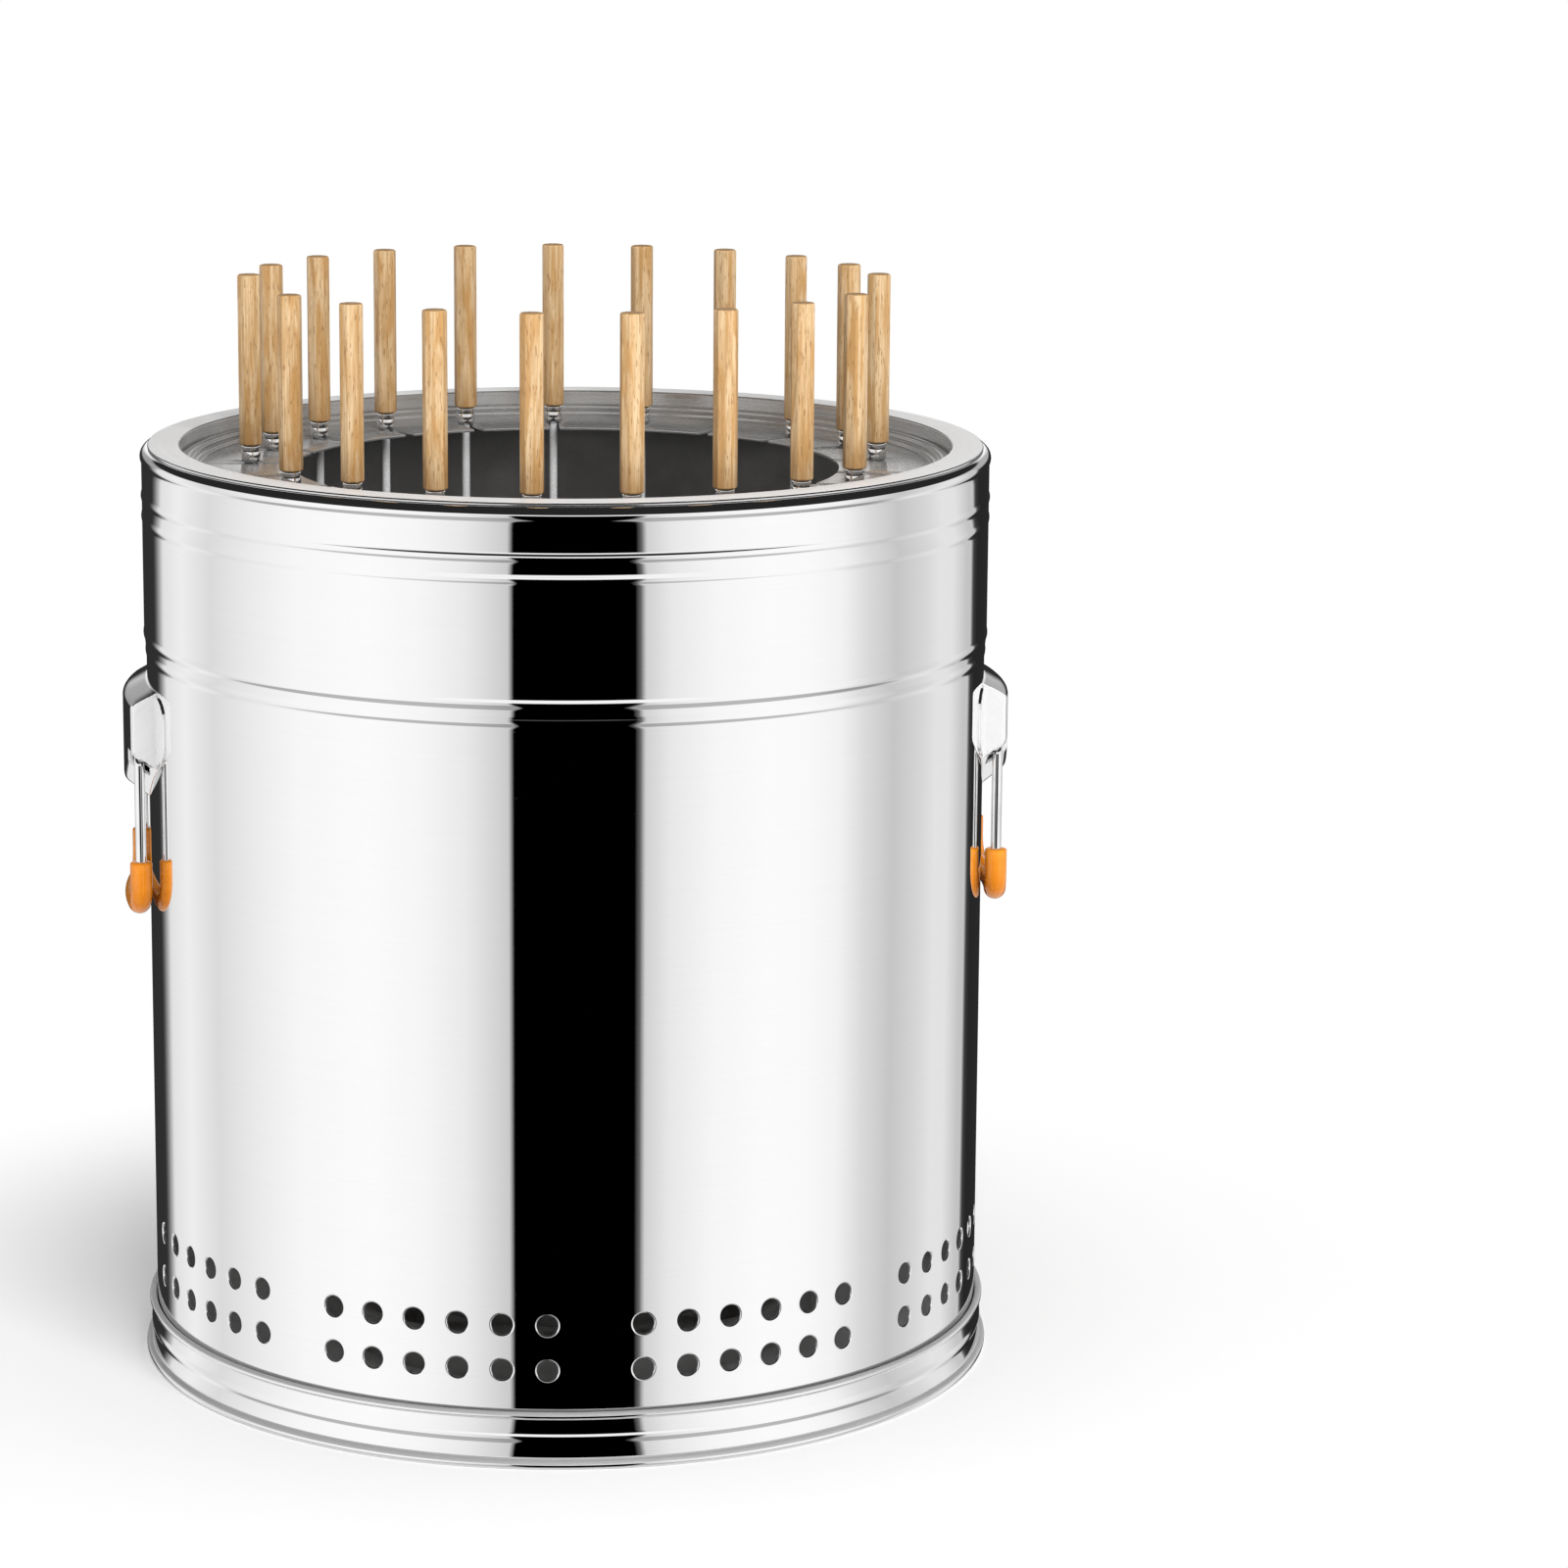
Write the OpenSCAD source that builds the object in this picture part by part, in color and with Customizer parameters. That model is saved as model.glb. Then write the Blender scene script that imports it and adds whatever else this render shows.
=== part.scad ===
// Portable charcoal grill: a steel barrel with a lift-off ring of hanging skewers.
// Millimetres, +Z up, origin on the floor at the barrel's axis, front towards -Y.

/* [Barrel] */
// Outer radius of the barrel wall
wall_r = 200; // [185:1:240]
// Thickness of the wall sheet
wall_t = 1; // [0.8:0.1:1.5]
// Height of the rolled rim's flat top above the floor
barrel_h = 440.5; // [425:0.5:520]
// How far the wall above the step stands out
upper_step = 1; // [0.4:0.1:1.5]
// Drop from the rim to the step
step_drop = 92; // [60:1:110]
// Radius of a rolled bead
bead_r = 1.5; // [1:0.1:2]
// How far a bead stands proud of the wall
bead_out = 1; // [0.6:0.1:1.4]
// Drop from the rim to the upper thin bead
thin_bead_drop = 22.5; // [15:0.5:30]
// Distance between the two thin beads
thin_bead_gap = 9.7; // [6:0.1:14]
// Distance between the two beads at the step
double_bead_gap = 8.3; // [5:0.1:12]
// Height of the rolled rim
rim_h = 5; // [4:0.5:8]
// Radial width of the rolled rim
rim_w = 5.2; // [4.5:0.1:8]
// How far the rolled rim stands proud of the upper wall
rim_out = 0.7; // [0.3:0.1:2]

/* [Vents] */
// Diameter of a vent
vent_d = 9.8; // [6:0.2:14]
// Height of the lowest row above the floor
vent_z = 45.5; // [44:0.5:80]
// Rows of vents
vent_rows = 2; // [1:1:3]
// Distance between rows
vent_row_gap = 21.3; // [16:0.1:40]
// Groups of vents around the barrel
vent_groups = 8; // [4:1:8]
// Columns in a group
vent_columns = 6; // [2:1:6]
// Distance between columns along the wall
vent_pitch = 20.7; // [16:0.1:21]
// Turn from one group to the next
vent_group_turn = 42.2; // [40:0.1:45]
// Turn of the row of groups, whose wide plain stretch is at the back
vent_turn = -0.2; // [-10:0.1:10]

/* [Base] */
// Room between the wall and the skirt
skirt_gap = 1.5; // [0.8:0.1:3]
// Thickness of the skirt sheet
skirt_t = 1; // [0.8:0.1:1.5]
// Height of the bead along the skirt's top edge
skirt_h = 24.7; // [20:0.1:32]
// Radius of the bead along the skirt's top edge
skirt_bead_r = 1.8; // [1.2:0.1:2.2]
// Height of the thin bead on the skirt
line_bead_z = 14.2; // [8:0.1:17]
// How far the foot lip stands out of the skirt
foot_out = 3.1; // [2.5:0.1:6]
// Height of the foot lip
foot_h = 4; // [3:0.5:5]
// How far the foot reaches in under the skirt
foot_in = 5; // [2:0.5:12]
// Height of the shelf's top, which the base plate lies on
shelf_z = 12; // [8:0.5:16]
// How far the shelf reaches in from the skirt
shelf_w = 6; // [4:0.5:15]
// Thickness of the base plate
floor_t = 1; // [0.8:0.1:2]

/* [Side handles] */
// Drop from the step to the bracket's upper edge
bracket_drop = 17.5; // [12:0.5:30]
// Height of a bracket at the wall
bracket_h = 56; // [54:1:64]
// How far a bracket's face stands off the wall
bracket_out = 11.6; // [11:0.2:13]
// Thickness of the bracket sheet
bracket_t = 1.2; // [0.8:0.1:1.4]
// Width of a bracket's face
bracket_face_w = 88; // [86:1:90]
// Width of a bracket at the wall
bracket_foot_w = 90; // [90:1:96]
// Height of the bevel above the face
top_bevel = 6.5; // [5:0.5:12]
// Height of the bevel below the face
low_bevel = 9.5; // [8:0.5:12]
// Height of the cut at each lower corner, at the wall
corner_rise = 19; // [17:0.5:21]
// How far the cut at each lower corner reaches along the lower edge
corner_w = 30; // [27:1:33]
// How much higher the cut at each lower corner is at the face
corner_bevel = 8; // [6:0.5:9]
// Thickness of the tabs that hold a bracket to the wall
tab_t = 1; // [0.6:0.1:1.5]
// How far a tab reaches past the bracket's end
tab_w = 14; // [10:0.5:18]
// Chamfer at a tab's corners
tab_corner = 8; // [4:0.5:10]
// Width of the notch that a bail leg swings in
notch_w = 7; // [6.5:0.1:7.5]
// Room between a bail leg and the rounded back of its notch
notch_room = 1.5; // [1:0.1:2]
// Height of the pivot above the bracket's lower edge
pivot_rise = 24; // [23.5:0.5:25]
// Thickness of a pivot lug
lug_t = 3; // [2:0.5:4]
// Wall of a pivot lug around its hole
lug_wall = 1.6; // [1.2:0.1:2]
// Diameter of the bail wire
wire_d = 5; // [4:0.5:5]
// Distance between a bail's legs
bail_w = 76; // [74:1:77]
// Drop from the pivot to the middle of the grip
bail_h = 72.5; // [60:0.5:90]
// Bend radius between leg and grip
grip_bend = 12; // [10:0.5:16]
// Bend radius between leg and pivot pin
pin_bend = 4.5; // [4:0.5:5]
// Straight length of a pivot pin
pin_l = 6; // [5:0.5:7]
// Gap between the hanging sleeve and the wall
grip_gap = 1.6; // [1:0.1:2]
// Diameter of the sleeve on the grip
grip_d = 10.5; // [8:0.5:12]
// How far the sleeve goes up the legs
grip_rise = 22; // [14:1:30]

/* [Skewer ring] */
// How far the flange lies over the rim
ring_rest = 1.5; // [1:0.1:2]
// Width of the ring's flange
ring_flange_w = 15; // [12:0.5:20]
// Thickness of the ring's collar
collar_t = 1.5; // [1:0.1:2]
// Depth of the lip that centres the ring in the barrel
ring_lip_h = 8; // [5:0.5:15]
// Depth of the well down to the plate's edge
well_h = 6.5; // [5:0.5:12]
// Room between the plate's edge and the well
plate_edge_gap = 1.5; // [0.6:0.1:2]
// Thickness of the plate
plate_t = 1.5; // [1:0.1:2]
// Width of each step at the plate's edge
plate_step_w = 3.5; // [3:0.1:6]
// Drop of each step at the plate's edge
plate_step_h = 2.5; // [1.6:0.1:4]
// Radius of the central opening
opening_r = 129.5; // [126:0.5:138]
// Number of slots
slot_count = 21; // [12:1:22]
// Turn of the first slot from the +X side
slot_turn = 3; // [0:0.5:15]
// Width of a slot
slot_w = 5; // [4.8:0.1:6]
// Radius of the circle that the skewers hang on
hang_r = 150; // [146:0.5:154]
// First slot with no skewer in it
first_empty = 11; // [1:1:20]
// Last slot with no skewer in it
last_empty = 20; // [1:1:20]

/* [Skewers] */
// Diameter of a rod
rod_d = 4; // [3:0.5:4]
// Length of a rod below the ferrule
rod_l = 370; // [300:5:375]
// Length of a rod's point
point_l = 14; // [8:1:25]
// Length of a rod inside its handle
tang_l = 45; // [20:1:60]
// Diameter of a ferrule
ferrule_d = 9; // [8:0.5:10]
// Height of a ferrule
ferrule_h = 8.5; // [6:0.5:12]
// Rounding of a ferrule's lower edge
ferrule_round = 1.2; // [0.6:0.1:1.4]
// Width of a handle across its flats
handle_w = 10.5; // [9:0.5:13]
// Length of a handle
handle_l = 81; // [70:1:110]
// Chamfer on a handle's ends
handle_chamfer = 1; // [0.5:0.1:1.5]

/* [Ash pan and charcoal basket] */
// Outer radius of the ash pan's wall
pan_r = 120; // [112:1:122]
// Height of the ash pan
pan_h = 22; // [15:1:26]
// Thickness of the ash pan
pan_t = 1; // [0.8:0.1:1.5]
// Radius of the ash pan's rolled edge
pan_bead_r = 1.8; // [1.2:0.1:2.5]
// Outer radius of the basket's cage
cage_r = 88; // [70:1:92]
// Height of the cage
cage_h = 150; // [120:5:180]
// Thickness of the cage
cage_t = 1.2; // [1:0.1:2]
// Number of slots around the cage
cage_slots = 20; // [8:1:24]
// Width of a cage slot
cage_slot_w = 9; // [6:0.5:10]
// Solid band above and below the cage slots
cage_band = 20; // [12:1:30]
// Radius of the cage's rolled edge
cage_bead_r = 2; // [1.5:0.1:3]
// How far the cage's lower edge turns in
cage_lip_w = 8; // [6:0.5:12]
// Height of the basket's feet
basket_foot_h = 16; // [10:1:20]
// Diameter of a foot
basket_foot_d = 6; // [4:0.5:6]
// Thickness of the basket's grate
grate_t = 2; // [1.5:0.5:4]
// Number of slots in the grate
grate_slots = 7; // [3:1:9]
// Width of a grate slot
grate_slot_w = 10; // [6:0.5:12]
// Diameter of the basket's handle wire
basket_wire_d = 5; // [4:0.5:6]
// Length of the handle's legs inside the cage
basket_leg_l = 30; // [20:1:60]

/* [Hidden] */
$fn = 240;

// Running clearance of a pin in its hole, on the radius
pin_gap = 0.05;
// Clearance of a sleeve, tang or seat within one assembly
seat_gap = 0.1;
// Clearance between pieces that move apart
free_gap = 0.4;
// Extra depth so that a cut goes clean through
cut = 1;
// Extra diameter of the ball that welds two lengths of wire into one
ball_extra = 0.02;

// Heights along the barrel
upper_r = wall_r + upper_step;
step_z = barrel_h - step_drop;
floor_z = shelf_z + floor_t;
mouth_r = upper_r + rim_out - rim_w;

// Skirt
skirt_in_r = wall_r + skirt_gap;
skirt_out_r = skirt_in_r + skirt_t;
foot_lip_r = foot_h / 2;
floor_r = skirt_in_r - seat_gap;

// Side handles: bracket, pivot and bail
bracket_z = step_z - bracket_drop - bracket_h;
bracket_r = wall_r + bracket_out;
face_y = bracket_face_w / 2;
foot_y = bracket_foot_w / 2;
corner_y = foot_y - corner_w;
pivot_z = bracket_z + pivot_rise;
bail_r = wall_r + grip_gap + grip_d / 2;
corner_r = sqrt(bail_r * bail_r + grip_bend * grip_bend);
leg_y = bail_w / 2;
leg_x = sqrt(corner_r * corner_r - leg_y * leg_y);
grip_turn = asin(leg_y / corner_r) - atan2(grip_bend, bail_r);
grip_z = pivot_z - bail_h;
lug_y = leg_y - pin_bend - free_gap - lug_t;
lug_r = wire_d / 2 + pin_gap + lug_wall;

// The plane that cuts a bracket's lower corner, from three points on the bracket's outside
corner_foot = [sqrt(wall_r * wall_r - foot_y * foot_y), foot_y, bracket_z + corner_rise];
corner_low = [sqrt(wall_r * wall_r - corner_y * corner_y), corner_y, bracket_z];
corner_face = [sqrt(bracket_r * bracket_r - face_y * face_y), face_y, corner_foot[2] + corner_bevel];
corner_normal = cross(corner_face - corner_foot, corner_low - corner_foot);
corner_tilt = acos(corner_normal[2] / norm(corner_normal));
corner_turn = atan2(corner_normal[1], corner_normal[0]);

// Skewer ring: flange, well and stepped plate
ring_z = barrel_h + collar_t;
ring_r = mouth_r + ring_rest;
well_r = ring_r - ring_flange_w;
plate_edge_z = ring_z - well_h;
plate_edge_r = well_r - plate_edge_gap;
outer_step_r = plate_edge_r - plate_step_w;
inner_step_r = outer_step_r - plate_step_w;
plate_z = plate_edge_z - 2 * plate_step_h;
seat_r = outer_step_r + plate_t + free_gap;

// Basket, standing on the ash pan's floor
pan_floor_z = floor_z + pan_t;
cage_z = pan_floor_z + basket_foot_h;
cage_in_r = cage_r - cage_t;
grate_r = cage_in_r - seat_gap;
basket_arch_r = cage_in_r - seat_gap - basket_wire_d / 2;

slots = [for (k = [0:slot_count - 1]) if (k != first_empty && k != last_empty) k];
skewers = [for (i = [0:len(slots) - 1]) i];

function slot_angle(k) = slot_turn + k * 360 / slot_count;
function skewer_name(i, piece) = str("skewer_", i < 9 ? "0" : "", i + 1, "_", piece);

// A ring with a rectangular section
module band(inner_r, outer_r, low_z, high_z) {
    rotate_extrude()
        translate([inner_r, low_z])
            square([outer_r - inner_r, high_z - low_z]);
}

// Section of a bead on the outside of a sheet that ends at radius r
module bead_section(r, z) {
    intersection() {
        translate([r + bead_out - bead_r, z])
            circle(bead_r);
        translate([r - wall_t, z - bead_r])
            square([wall_t + bead_out, 2 * bead_r]);
    }
}

// Section of the barrel wall: lower wall, step, upper wall, beads and rolled rim
module wall_section() {
    translate([wall_r - wall_t, floor_z])
        square([wall_t, step_z - floor_z]);
    translate([wall_r - wall_t, step_z])
        square([upper_step + wall_t, wall_t]);
    translate([upper_r - wall_t, step_z])
        square([wall_t, step_drop - rim_h / 2]);
    bead_section(wall_r, step_z - double_bead_gap / 2);
    bead_section(upper_r, step_z + double_bead_gap / 2);
    bead_section(upper_r, barrel_h - thin_bead_drop);
    bead_section(upper_r, barrel_h - thin_bead_drop - thin_bead_gap);
    translate([mouth_r, barrel_h - rim_h])
        square([rim_w - rim_h / 2, rim_h]);
    translate([mouth_r + rim_w - rim_h / 2, barrel_h - rim_h / 2])
        circle(d = rim_h);
}

module barrel_wall() color("gainsboro") {
    column_turn = vent_pitch / wall_r * 180 / PI;
    difference() {
        rotate_extrude()
            wall_section();
        for (group = [0:vent_groups - 1], column = [0:vent_columns - 1], row = [0:vent_rows - 1]) {
            group_angle = vent_turn - 90 + (group - (vent_groups - 1) / 2) * vent_group_turn;
            column_angle = (column - (vent_columns - 1) / 2) * column_turn;
            rotate([0, 0, group_angle + column_angle])
                translate([wall_r - wall_t - cut, 0, vent_z + row * vent_row_gap])
                    rotate([0, 90, 0])
                        cylinder(d = vent_d, h = wall_t + 2 * cut);
        }
    }
}

// Section of the skirt, its two beads, the shelf inside it and the foot below
module skirt_section() {
    translate([skirt_in_r, 0])
        square([skirt_t, skirt_h]);
    difference() {
        translate([skirt_in_r + skirt_t / 2, skirt_h])
            circle(skirt_bead_r);
        translate([0, skirt_h - 2 * skirt_bead_r])
            square([wall_r + seat_gap, 4 * skirt_bead_r]);
    }
    intersection() {
        translate([skirt_out_r + bead_out - bead_r, line_bead_z])
            circle(bead_r);
        translate([skirt_in_r, line_bead_z - bead_r])
            square([skirt_t + bead_out, 2 * bead_r]);
    }
    translate([skirt_in_r - shelf_w, shelf_z - skirt_t])
        square([shelf_w + skirt_t / 2, skirt_t]);
    translate([skirt_in_r - foot_in, 0])
        square([foot_in + skirt_t, foot_h / 2]);
    translate([skirt_in_r, 0])
        square([skirt_t + foot_out - foot_lip_r, foot_h]);
    translate([skirt_out_r + foot_out - foot_lip_r, foot_lip_r])
        circle(foot_lip_r);
}

module base_ring() color("gainsboro") {
    rotate_extrude()
        skirt_section();
}

module base_plate() color("silver") {
    translate([0, 0, shelf_z])
        cylinder(r = floor_r, h = floor_t);
}

// Solid box that follows the wall, bevelled above, below and at both ends, shrunk all round by inset
module bracket_block(inset, back_r) {
    face_r = bracket_r - inset;
    block_face_y = face_y - inset;
    block_foot_y = foot_y - inset;
    bevel_inset = 1.5 * inset;
    low_z = bracket_z + bevel_inset;
    high_z = bracket_z + bracket_h - bevel_inset;
    foot_x = sqrt(back_r * back_r - block_foot_y * block_foot_y);
    face_x = sqrt(face_r * face_r - block_face_y * block_face_y);
    taper = (block_foot_y - block_face_y) / (face_x - foot_x);
    near_x = foot_x - bracket_out;
    far_x = face_x + bracket_out;
    near_y = block_foot_y + taper * (foot_x - near_x);
    far_y = block_face_y - taper * (far_x - face_x);
    difference() {
        intersection() {
            rotate_extrude()
                polygon([
                    [back_r, low_z],
                    [wall_r, low_z],
                    [face_r, low_z + low_bevel - inset],
                    [face_r, high_z - top_bevel + inset],
                    [wall_r, high_z],
                    [back_r, high_z]
                ]);
            translate([0, 0, bracket_z])
                linear_extrude(height = bracket_h)
                    polygon([[near_x, -near_y], [far_x, -far_y], [far_x, far_y], [near_x, near_y]]);
        }
        for (side = [-1, 1])
            translate([corner_foot[0], side * foot_y, corner_foot[2]])
                rotate([0, corner_tilt, side * corner_turn])
                    translate([-bracket_h, -bracket_h, -inset])
                        cube(2 * bracket_h);
    }
}

// Thin tabs on the wall past both ends of a bracket
module bracket_tabs() {
    tab_y = foot_y + tab_w;
    low_z = corner_foot[2] + 2 * tab_t;
    high_z = bracket_z + bracket_h - 2 * tab_t;
    intersection() {
        band(wall_r, wall_r + tab_t, low_z - cut, high_z + cut);
        rotate([90, 0, 90])
            linear_extrude(height = wall_r + tab_t + cut)
                polygon([
                    [-tab_y, low_z + tab_corner],
                    [tab_corner - tab_y, low_z],
                    [tab_y - tab_corner, low_z],
                    [tab_y, low_z + tab_corner],
                    [tab_y, high_z - tab_corner],
                    [tab_y - tab_corner, high_z],
                    [tab_corner - tab_y, high_z],
                    [-tab_y, high_z - tab_corner]
                ]);
    }
}

// Notch in a lower corner, rounded at its back, which a bail leg hangs in and swings out of
module leg_notch() {
    notch_r = wire_d / 2 + notch_room;
    notch_top = pivot_z + wire_d / 2 + free_gap;
    round_z = notch_top - notch_r;
    translate([leg_x, notch_w / 2, round_z])
        rotate([90, 0, 0])
            cylinder(r = notch_r, h = notch_w);
    translate([leg_x - notch_r, -notch_w / 2, bracket_z - cut])
        cube([notch_r + 2 * bracket_out, notch_w, round_z - bracket_z + cut]);
    translate([leg_x, -notch_w / 2, bracket_z - cut])
        cube([2 * bracket_out, notch_w, notch_top - bracket_z + cut]);
}

module bracket() {
    difference() {
        union() {
            bracket_block(0, wall_r);
            bracket_tabs();
        }
        bracket_block(bracket_t, wall_r - cut);
        for (side = [-1, 1])
            translate([0, side * leg_y, 0])
                leg_notch();
    }
}

module right_bracket() color("gainsboro") bracket();

module left_bracket() color("gainsboro") mirror([1, 0, 0]) bracket();

// Two lugs between the wall and the bracket's face, each with a hole for one end of the bail
module lugs() {
    for (side = [-1, 1])
        difference() {
            intersection() {
                translate([0, side * (lug_y + lug_t / 2), pivot_z])
                    rotate([90, 0, 0])
                        union() {
                            translate([leg_x, 0, -lug_t / 2])
                                cylinder(r = lug_r, h = lug_t);
                            translate([leg_x - bracket_out - lug_r, -lug_r, -lug_t / 2])
                                cube([bracket_out + lug_r, 2 * lug_r, lug_t]);
                        }
                cylinder(r = bracket_r - bracket_t - seat_gap, h = barrel_h);
            }
            cylinder(r = wall_r, h = barrel_h);
            translate([leg_x, side * lug_y - lug_t * 2, pivot_z])
                rotate([-90, 0, 0])
                    cylinder(d = wire_d + 2 * pin_gap, h = 4 * lug_t);
        }
}

module right_lugs() color("silver") lugs();

module left_lugs() color("silver") mirror([1, 0, 0]) lugs();

// The round bar of a bail's grip and the lower part of its legs, as thick as d
module grip_bar(d, rise) {
    translate([0, 0, grip_z])
        rotate([0, 0, -grip_turn])
            rotate_extrude(angle = 2 * grip_turn)
                translate([bail_r, 0])
                    circle(d = d);
    for (side = [-1, 1]) {
        rotate([0, 0, side * grip_turn])
            translate([bail_r, 0, grip_z]) {
                sphere(d = d + ball_extra);
                translate([0, 0, grip_bend])
                    rotate([0, 0, 90 * side])
                        rotate([90, 0, 0])
                            rotate([0, 0, -90])
                                rotate_extrude(angle = 90)
                                    translate([grip_bend, 0])
                                        circle(d = d);
            }
        translate([leg_x, side * leg_y, grip_z + grip_bend]) {
            sphere(d = d + ball_extra);
            cylinder(d = d, h = rise - grip_bend);
        }
    }
}

// A bail: grip, two legs and the two ends bent inwards into the lugs
module bail() {
    leg_top = bail_h - pin_bend;
    grip_bar(wire_d, leg_top);
    for (side = [-1, 1]) {
        translate([leg_x, side * (leg_y - pin_bend), pivot_z - pin_bend])
            rotate([0, 0, -90 * side])
                rotate([90, 0, 0])
                    rotate([0, 0, 90])
                        rotate_extrude(angle = 90)
                            translate([pin_bend, 0])
                                circle(d = wire_d);
        translate([leg_x, side * (leg_y - pin_bend), pivot_z])
            rotate([90 * side, 0, 0])
                cylinder(d = wire_d, h = pin_l);
    }
}

module right_bail() color("silver") bail();

module left_bail() color("silver") mirror([1, 0, 0]) bail();

// Sleeve over the grip, open at both upper ends
module sleeve() {
    difference() {
        grip_bar(grip_d, grip_rise);
        grip_bar(wire_d + 2 * seat_gap, grip_rise + cut);
    }
}

module right_sleeve() color("darkorange") sleeve();

module left_sleeve() color("darkorange") mirror([1, 0, 0]) sleeve();

// Collar: flange on the rim, lip in the mouth, wall of the well and seat for the plate
module ring_collar() color("lightgray") {
    seat_z = plate_edge_z - plate_t;
    rotate_extrude() {
        translate([well_r, barrel_h])
            square([ring_flange_w, collar_t]);
        translate([mouth_r - free_gap - collar_t, barrel_h - ring_lip_h])
            square([collar_t, ring_lip_h + collar_t]);
        translate([well_r, seat_z - collar_t])
            square([collar_t, ring_z - seat_z + collar_t]);
        translate([seat_r, seat_z - collar_t])
            square([well_r - seat_r + collar_t, collar_t]);
    }
}

// Plate: two steps down from its edge, a central opening and the skewers' slots
module skewer_plate() color("lightgray") {
    difference() {
        rotate_extrude()
            polygon([
                [plate_edge_r, plate_edge_z],
                [outer_step_r, plate_edge_z],
                [outer_step_r, plate_edge_z - plate_step_h],
                [inner_step_r, plate_edge_z - plate_step_h],
                [inner_step_r, plate_z],
                [opening_r, plate_z],
                [opening_r, plate_z - plate_t],
                [inner_step_r + plate_t, plate_z - plate_t],
                [inner_step_r + plate_t, plate_edge_z - plate_step_h - plate_t],
                [outer_step_r + plate_t, plate_edge_z - plate_step_h - plate_t],
                [outer_step_r + plate_t, plate_edge_z - plate_t],
                [plate_edge_r, plate_edge_z - plate_t]
            ]);
        for (k = [0:slot_count - 1])
            rotate([0, 0, slot_angle(k)])
                translate([0, 0, plate_z - plate_t - cut]) {
                    translate([hang_r, 0, 0])
                        cylinder(d = slot_w, h = plate_t + 2 * cut);
                    translate([opening_r - slot_w, -slot_w / 2, 0])
                        cube([hang_r - opening_r + slot_w, slot_w, plate_t + 2 * cut]);
                }
    }
}

// Moves a skewer's piece to its slot, with the ferrule's foot on the plate
module at_slot(i) {
    rotate([0, 0, slot_angle(slots[i])])
        translate([hang_r, 0, plate_z])
            children();
}

// Eight-sided wooden handle with chamfered ends and a hole for the rod's tang
module skewer_handle(i) color("burlywood") {
    handle_r = handle_w / 2 / cos(22.5);
    end_r = handle_r - handle_chamfer;
    at_slot(i)
        translate([0, 0, ferrule_h])
            difference() {
                intersection() {
                    rotate([0, 0, 22.5])
                        cylinder(r = handle_r, h = handle_l, $fn = 8);
                    rotate_extrude()
                        polygon([
                            [0, 0],
                            [end_r, 0],
                            [end_r + handle_w, handle_w],
                            [end_r + handle_w, handle_l - handle_w],
                            [end_r, handle_l],
                            [0, handle_l]
                        ]);
                }
                translate([0, 0, -cut])
                    cylinder(d = rod_d + 2 * seat_gap, h = tang_l + seat_gap + cut);
            }
}

// Rod with its point, its ferrule and the tang that goes into the handle
module skewer_rod(i) color("silver") {
    at_slot(i) {
        translate([0, 0, point_l - rod_l])
            cylinder(d = rod_d, h = rod_l - point_l + ferrule_h + tang_l);
        translate([0, 0, -rod_l])
            cylinder(d1 = 0, d2 = rod_d, h = point_l);
        rotate_extrude() {
            square([ferrule_d / 2 - ferrule_round, ferrule_h]);
            translate([0, ferrule_round])
                square([ferrule_d / 2, ferrule_h - ferrule_round]);
            translate([ferrule_d / 2 - ferrule_round, ferrule_round])
                circle(ferrule_round);
        }
    }
}

module ash_pan() color("dimgray") {
    translate([0, 0, floor_z])
        rotate_extrude() {
            square([pan_r, pan_t]);
            translate([pan_r - pan_t, 0])
                square([pan_t, pan_h - pan_bead_r]);
            translate([pan_r, pan_h - pan_bead_r])
                circle(pan_bead_r);
        }
}

// Cage of the charcoal basket: slotted wall, rolled upper edge and turned-in lower edge
module basket_cage() color("gray") {
    slot_h = cage_h - 2 * cage_band;
    translate([0, 0, cage_z])
        difference() {
            rotate_extrude() {
                translate([cage_in_r, 0])
                    square([cage_t, cage_h - cage_bead_r]);
                translate([cage_r - cage_lip_w, 0])
                    square([cage_lip_w, cage_t]);
                translate([cage_r + cage_bead_r - cage_t, cage_h - cage_bead_r])
                    circle(cage_bead_r);
            }
            for (k = [0:cage_slots - 1])
                rotate([0, 0, (k + 0.5) * 360 / cage_slots])
                    translate([cage_in_r - cut, -cage_slot_w / 2, cage_band])
                        cube([cage_t + 2 * cut, cage_slot_w, slot_h]);
        }
}

// Grate that lies on the cage's turned-in edge, with slots for the ash to fall through
module basket_grate() color("gray") {
    slot_pitch = 2 * (cage_r - cage_lip_w) / (grate_slots + 1);
    rim_r = cage_r - cage_lip_w - grate_slot_w / 2;
    translate([0, 0, cage_z + cage_t])
        difference() {
            cylinder(r = grate_r, h = grate_t);
            for (k = [1:grate_slots]) {
                slot_y = k * slot_pitch - cage_r + cage_lip_w;
                slot_half = sqrt(rim_r * rim_r - slot_y * slot_y) - grate_slot_w / 2;
                translate([-slot_half, slot_y - grate_slot_w / 2, -cut])
                    cube([2 * slot_half, grate_slot_w, grate_t + 2 * cut]);
            }
        }
}

// Three feet under the cage's turned-in edge
module basket_feet() color("gray") {
    for (k = [0:2])
        rotate([0, 0, k * 120 + 90])
            translate([cage_r - cage_lip_w / 2, 0, pan_floor_z])
                cylinder(d = basket_foot_d, h = basket_foot_h);
}

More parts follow.
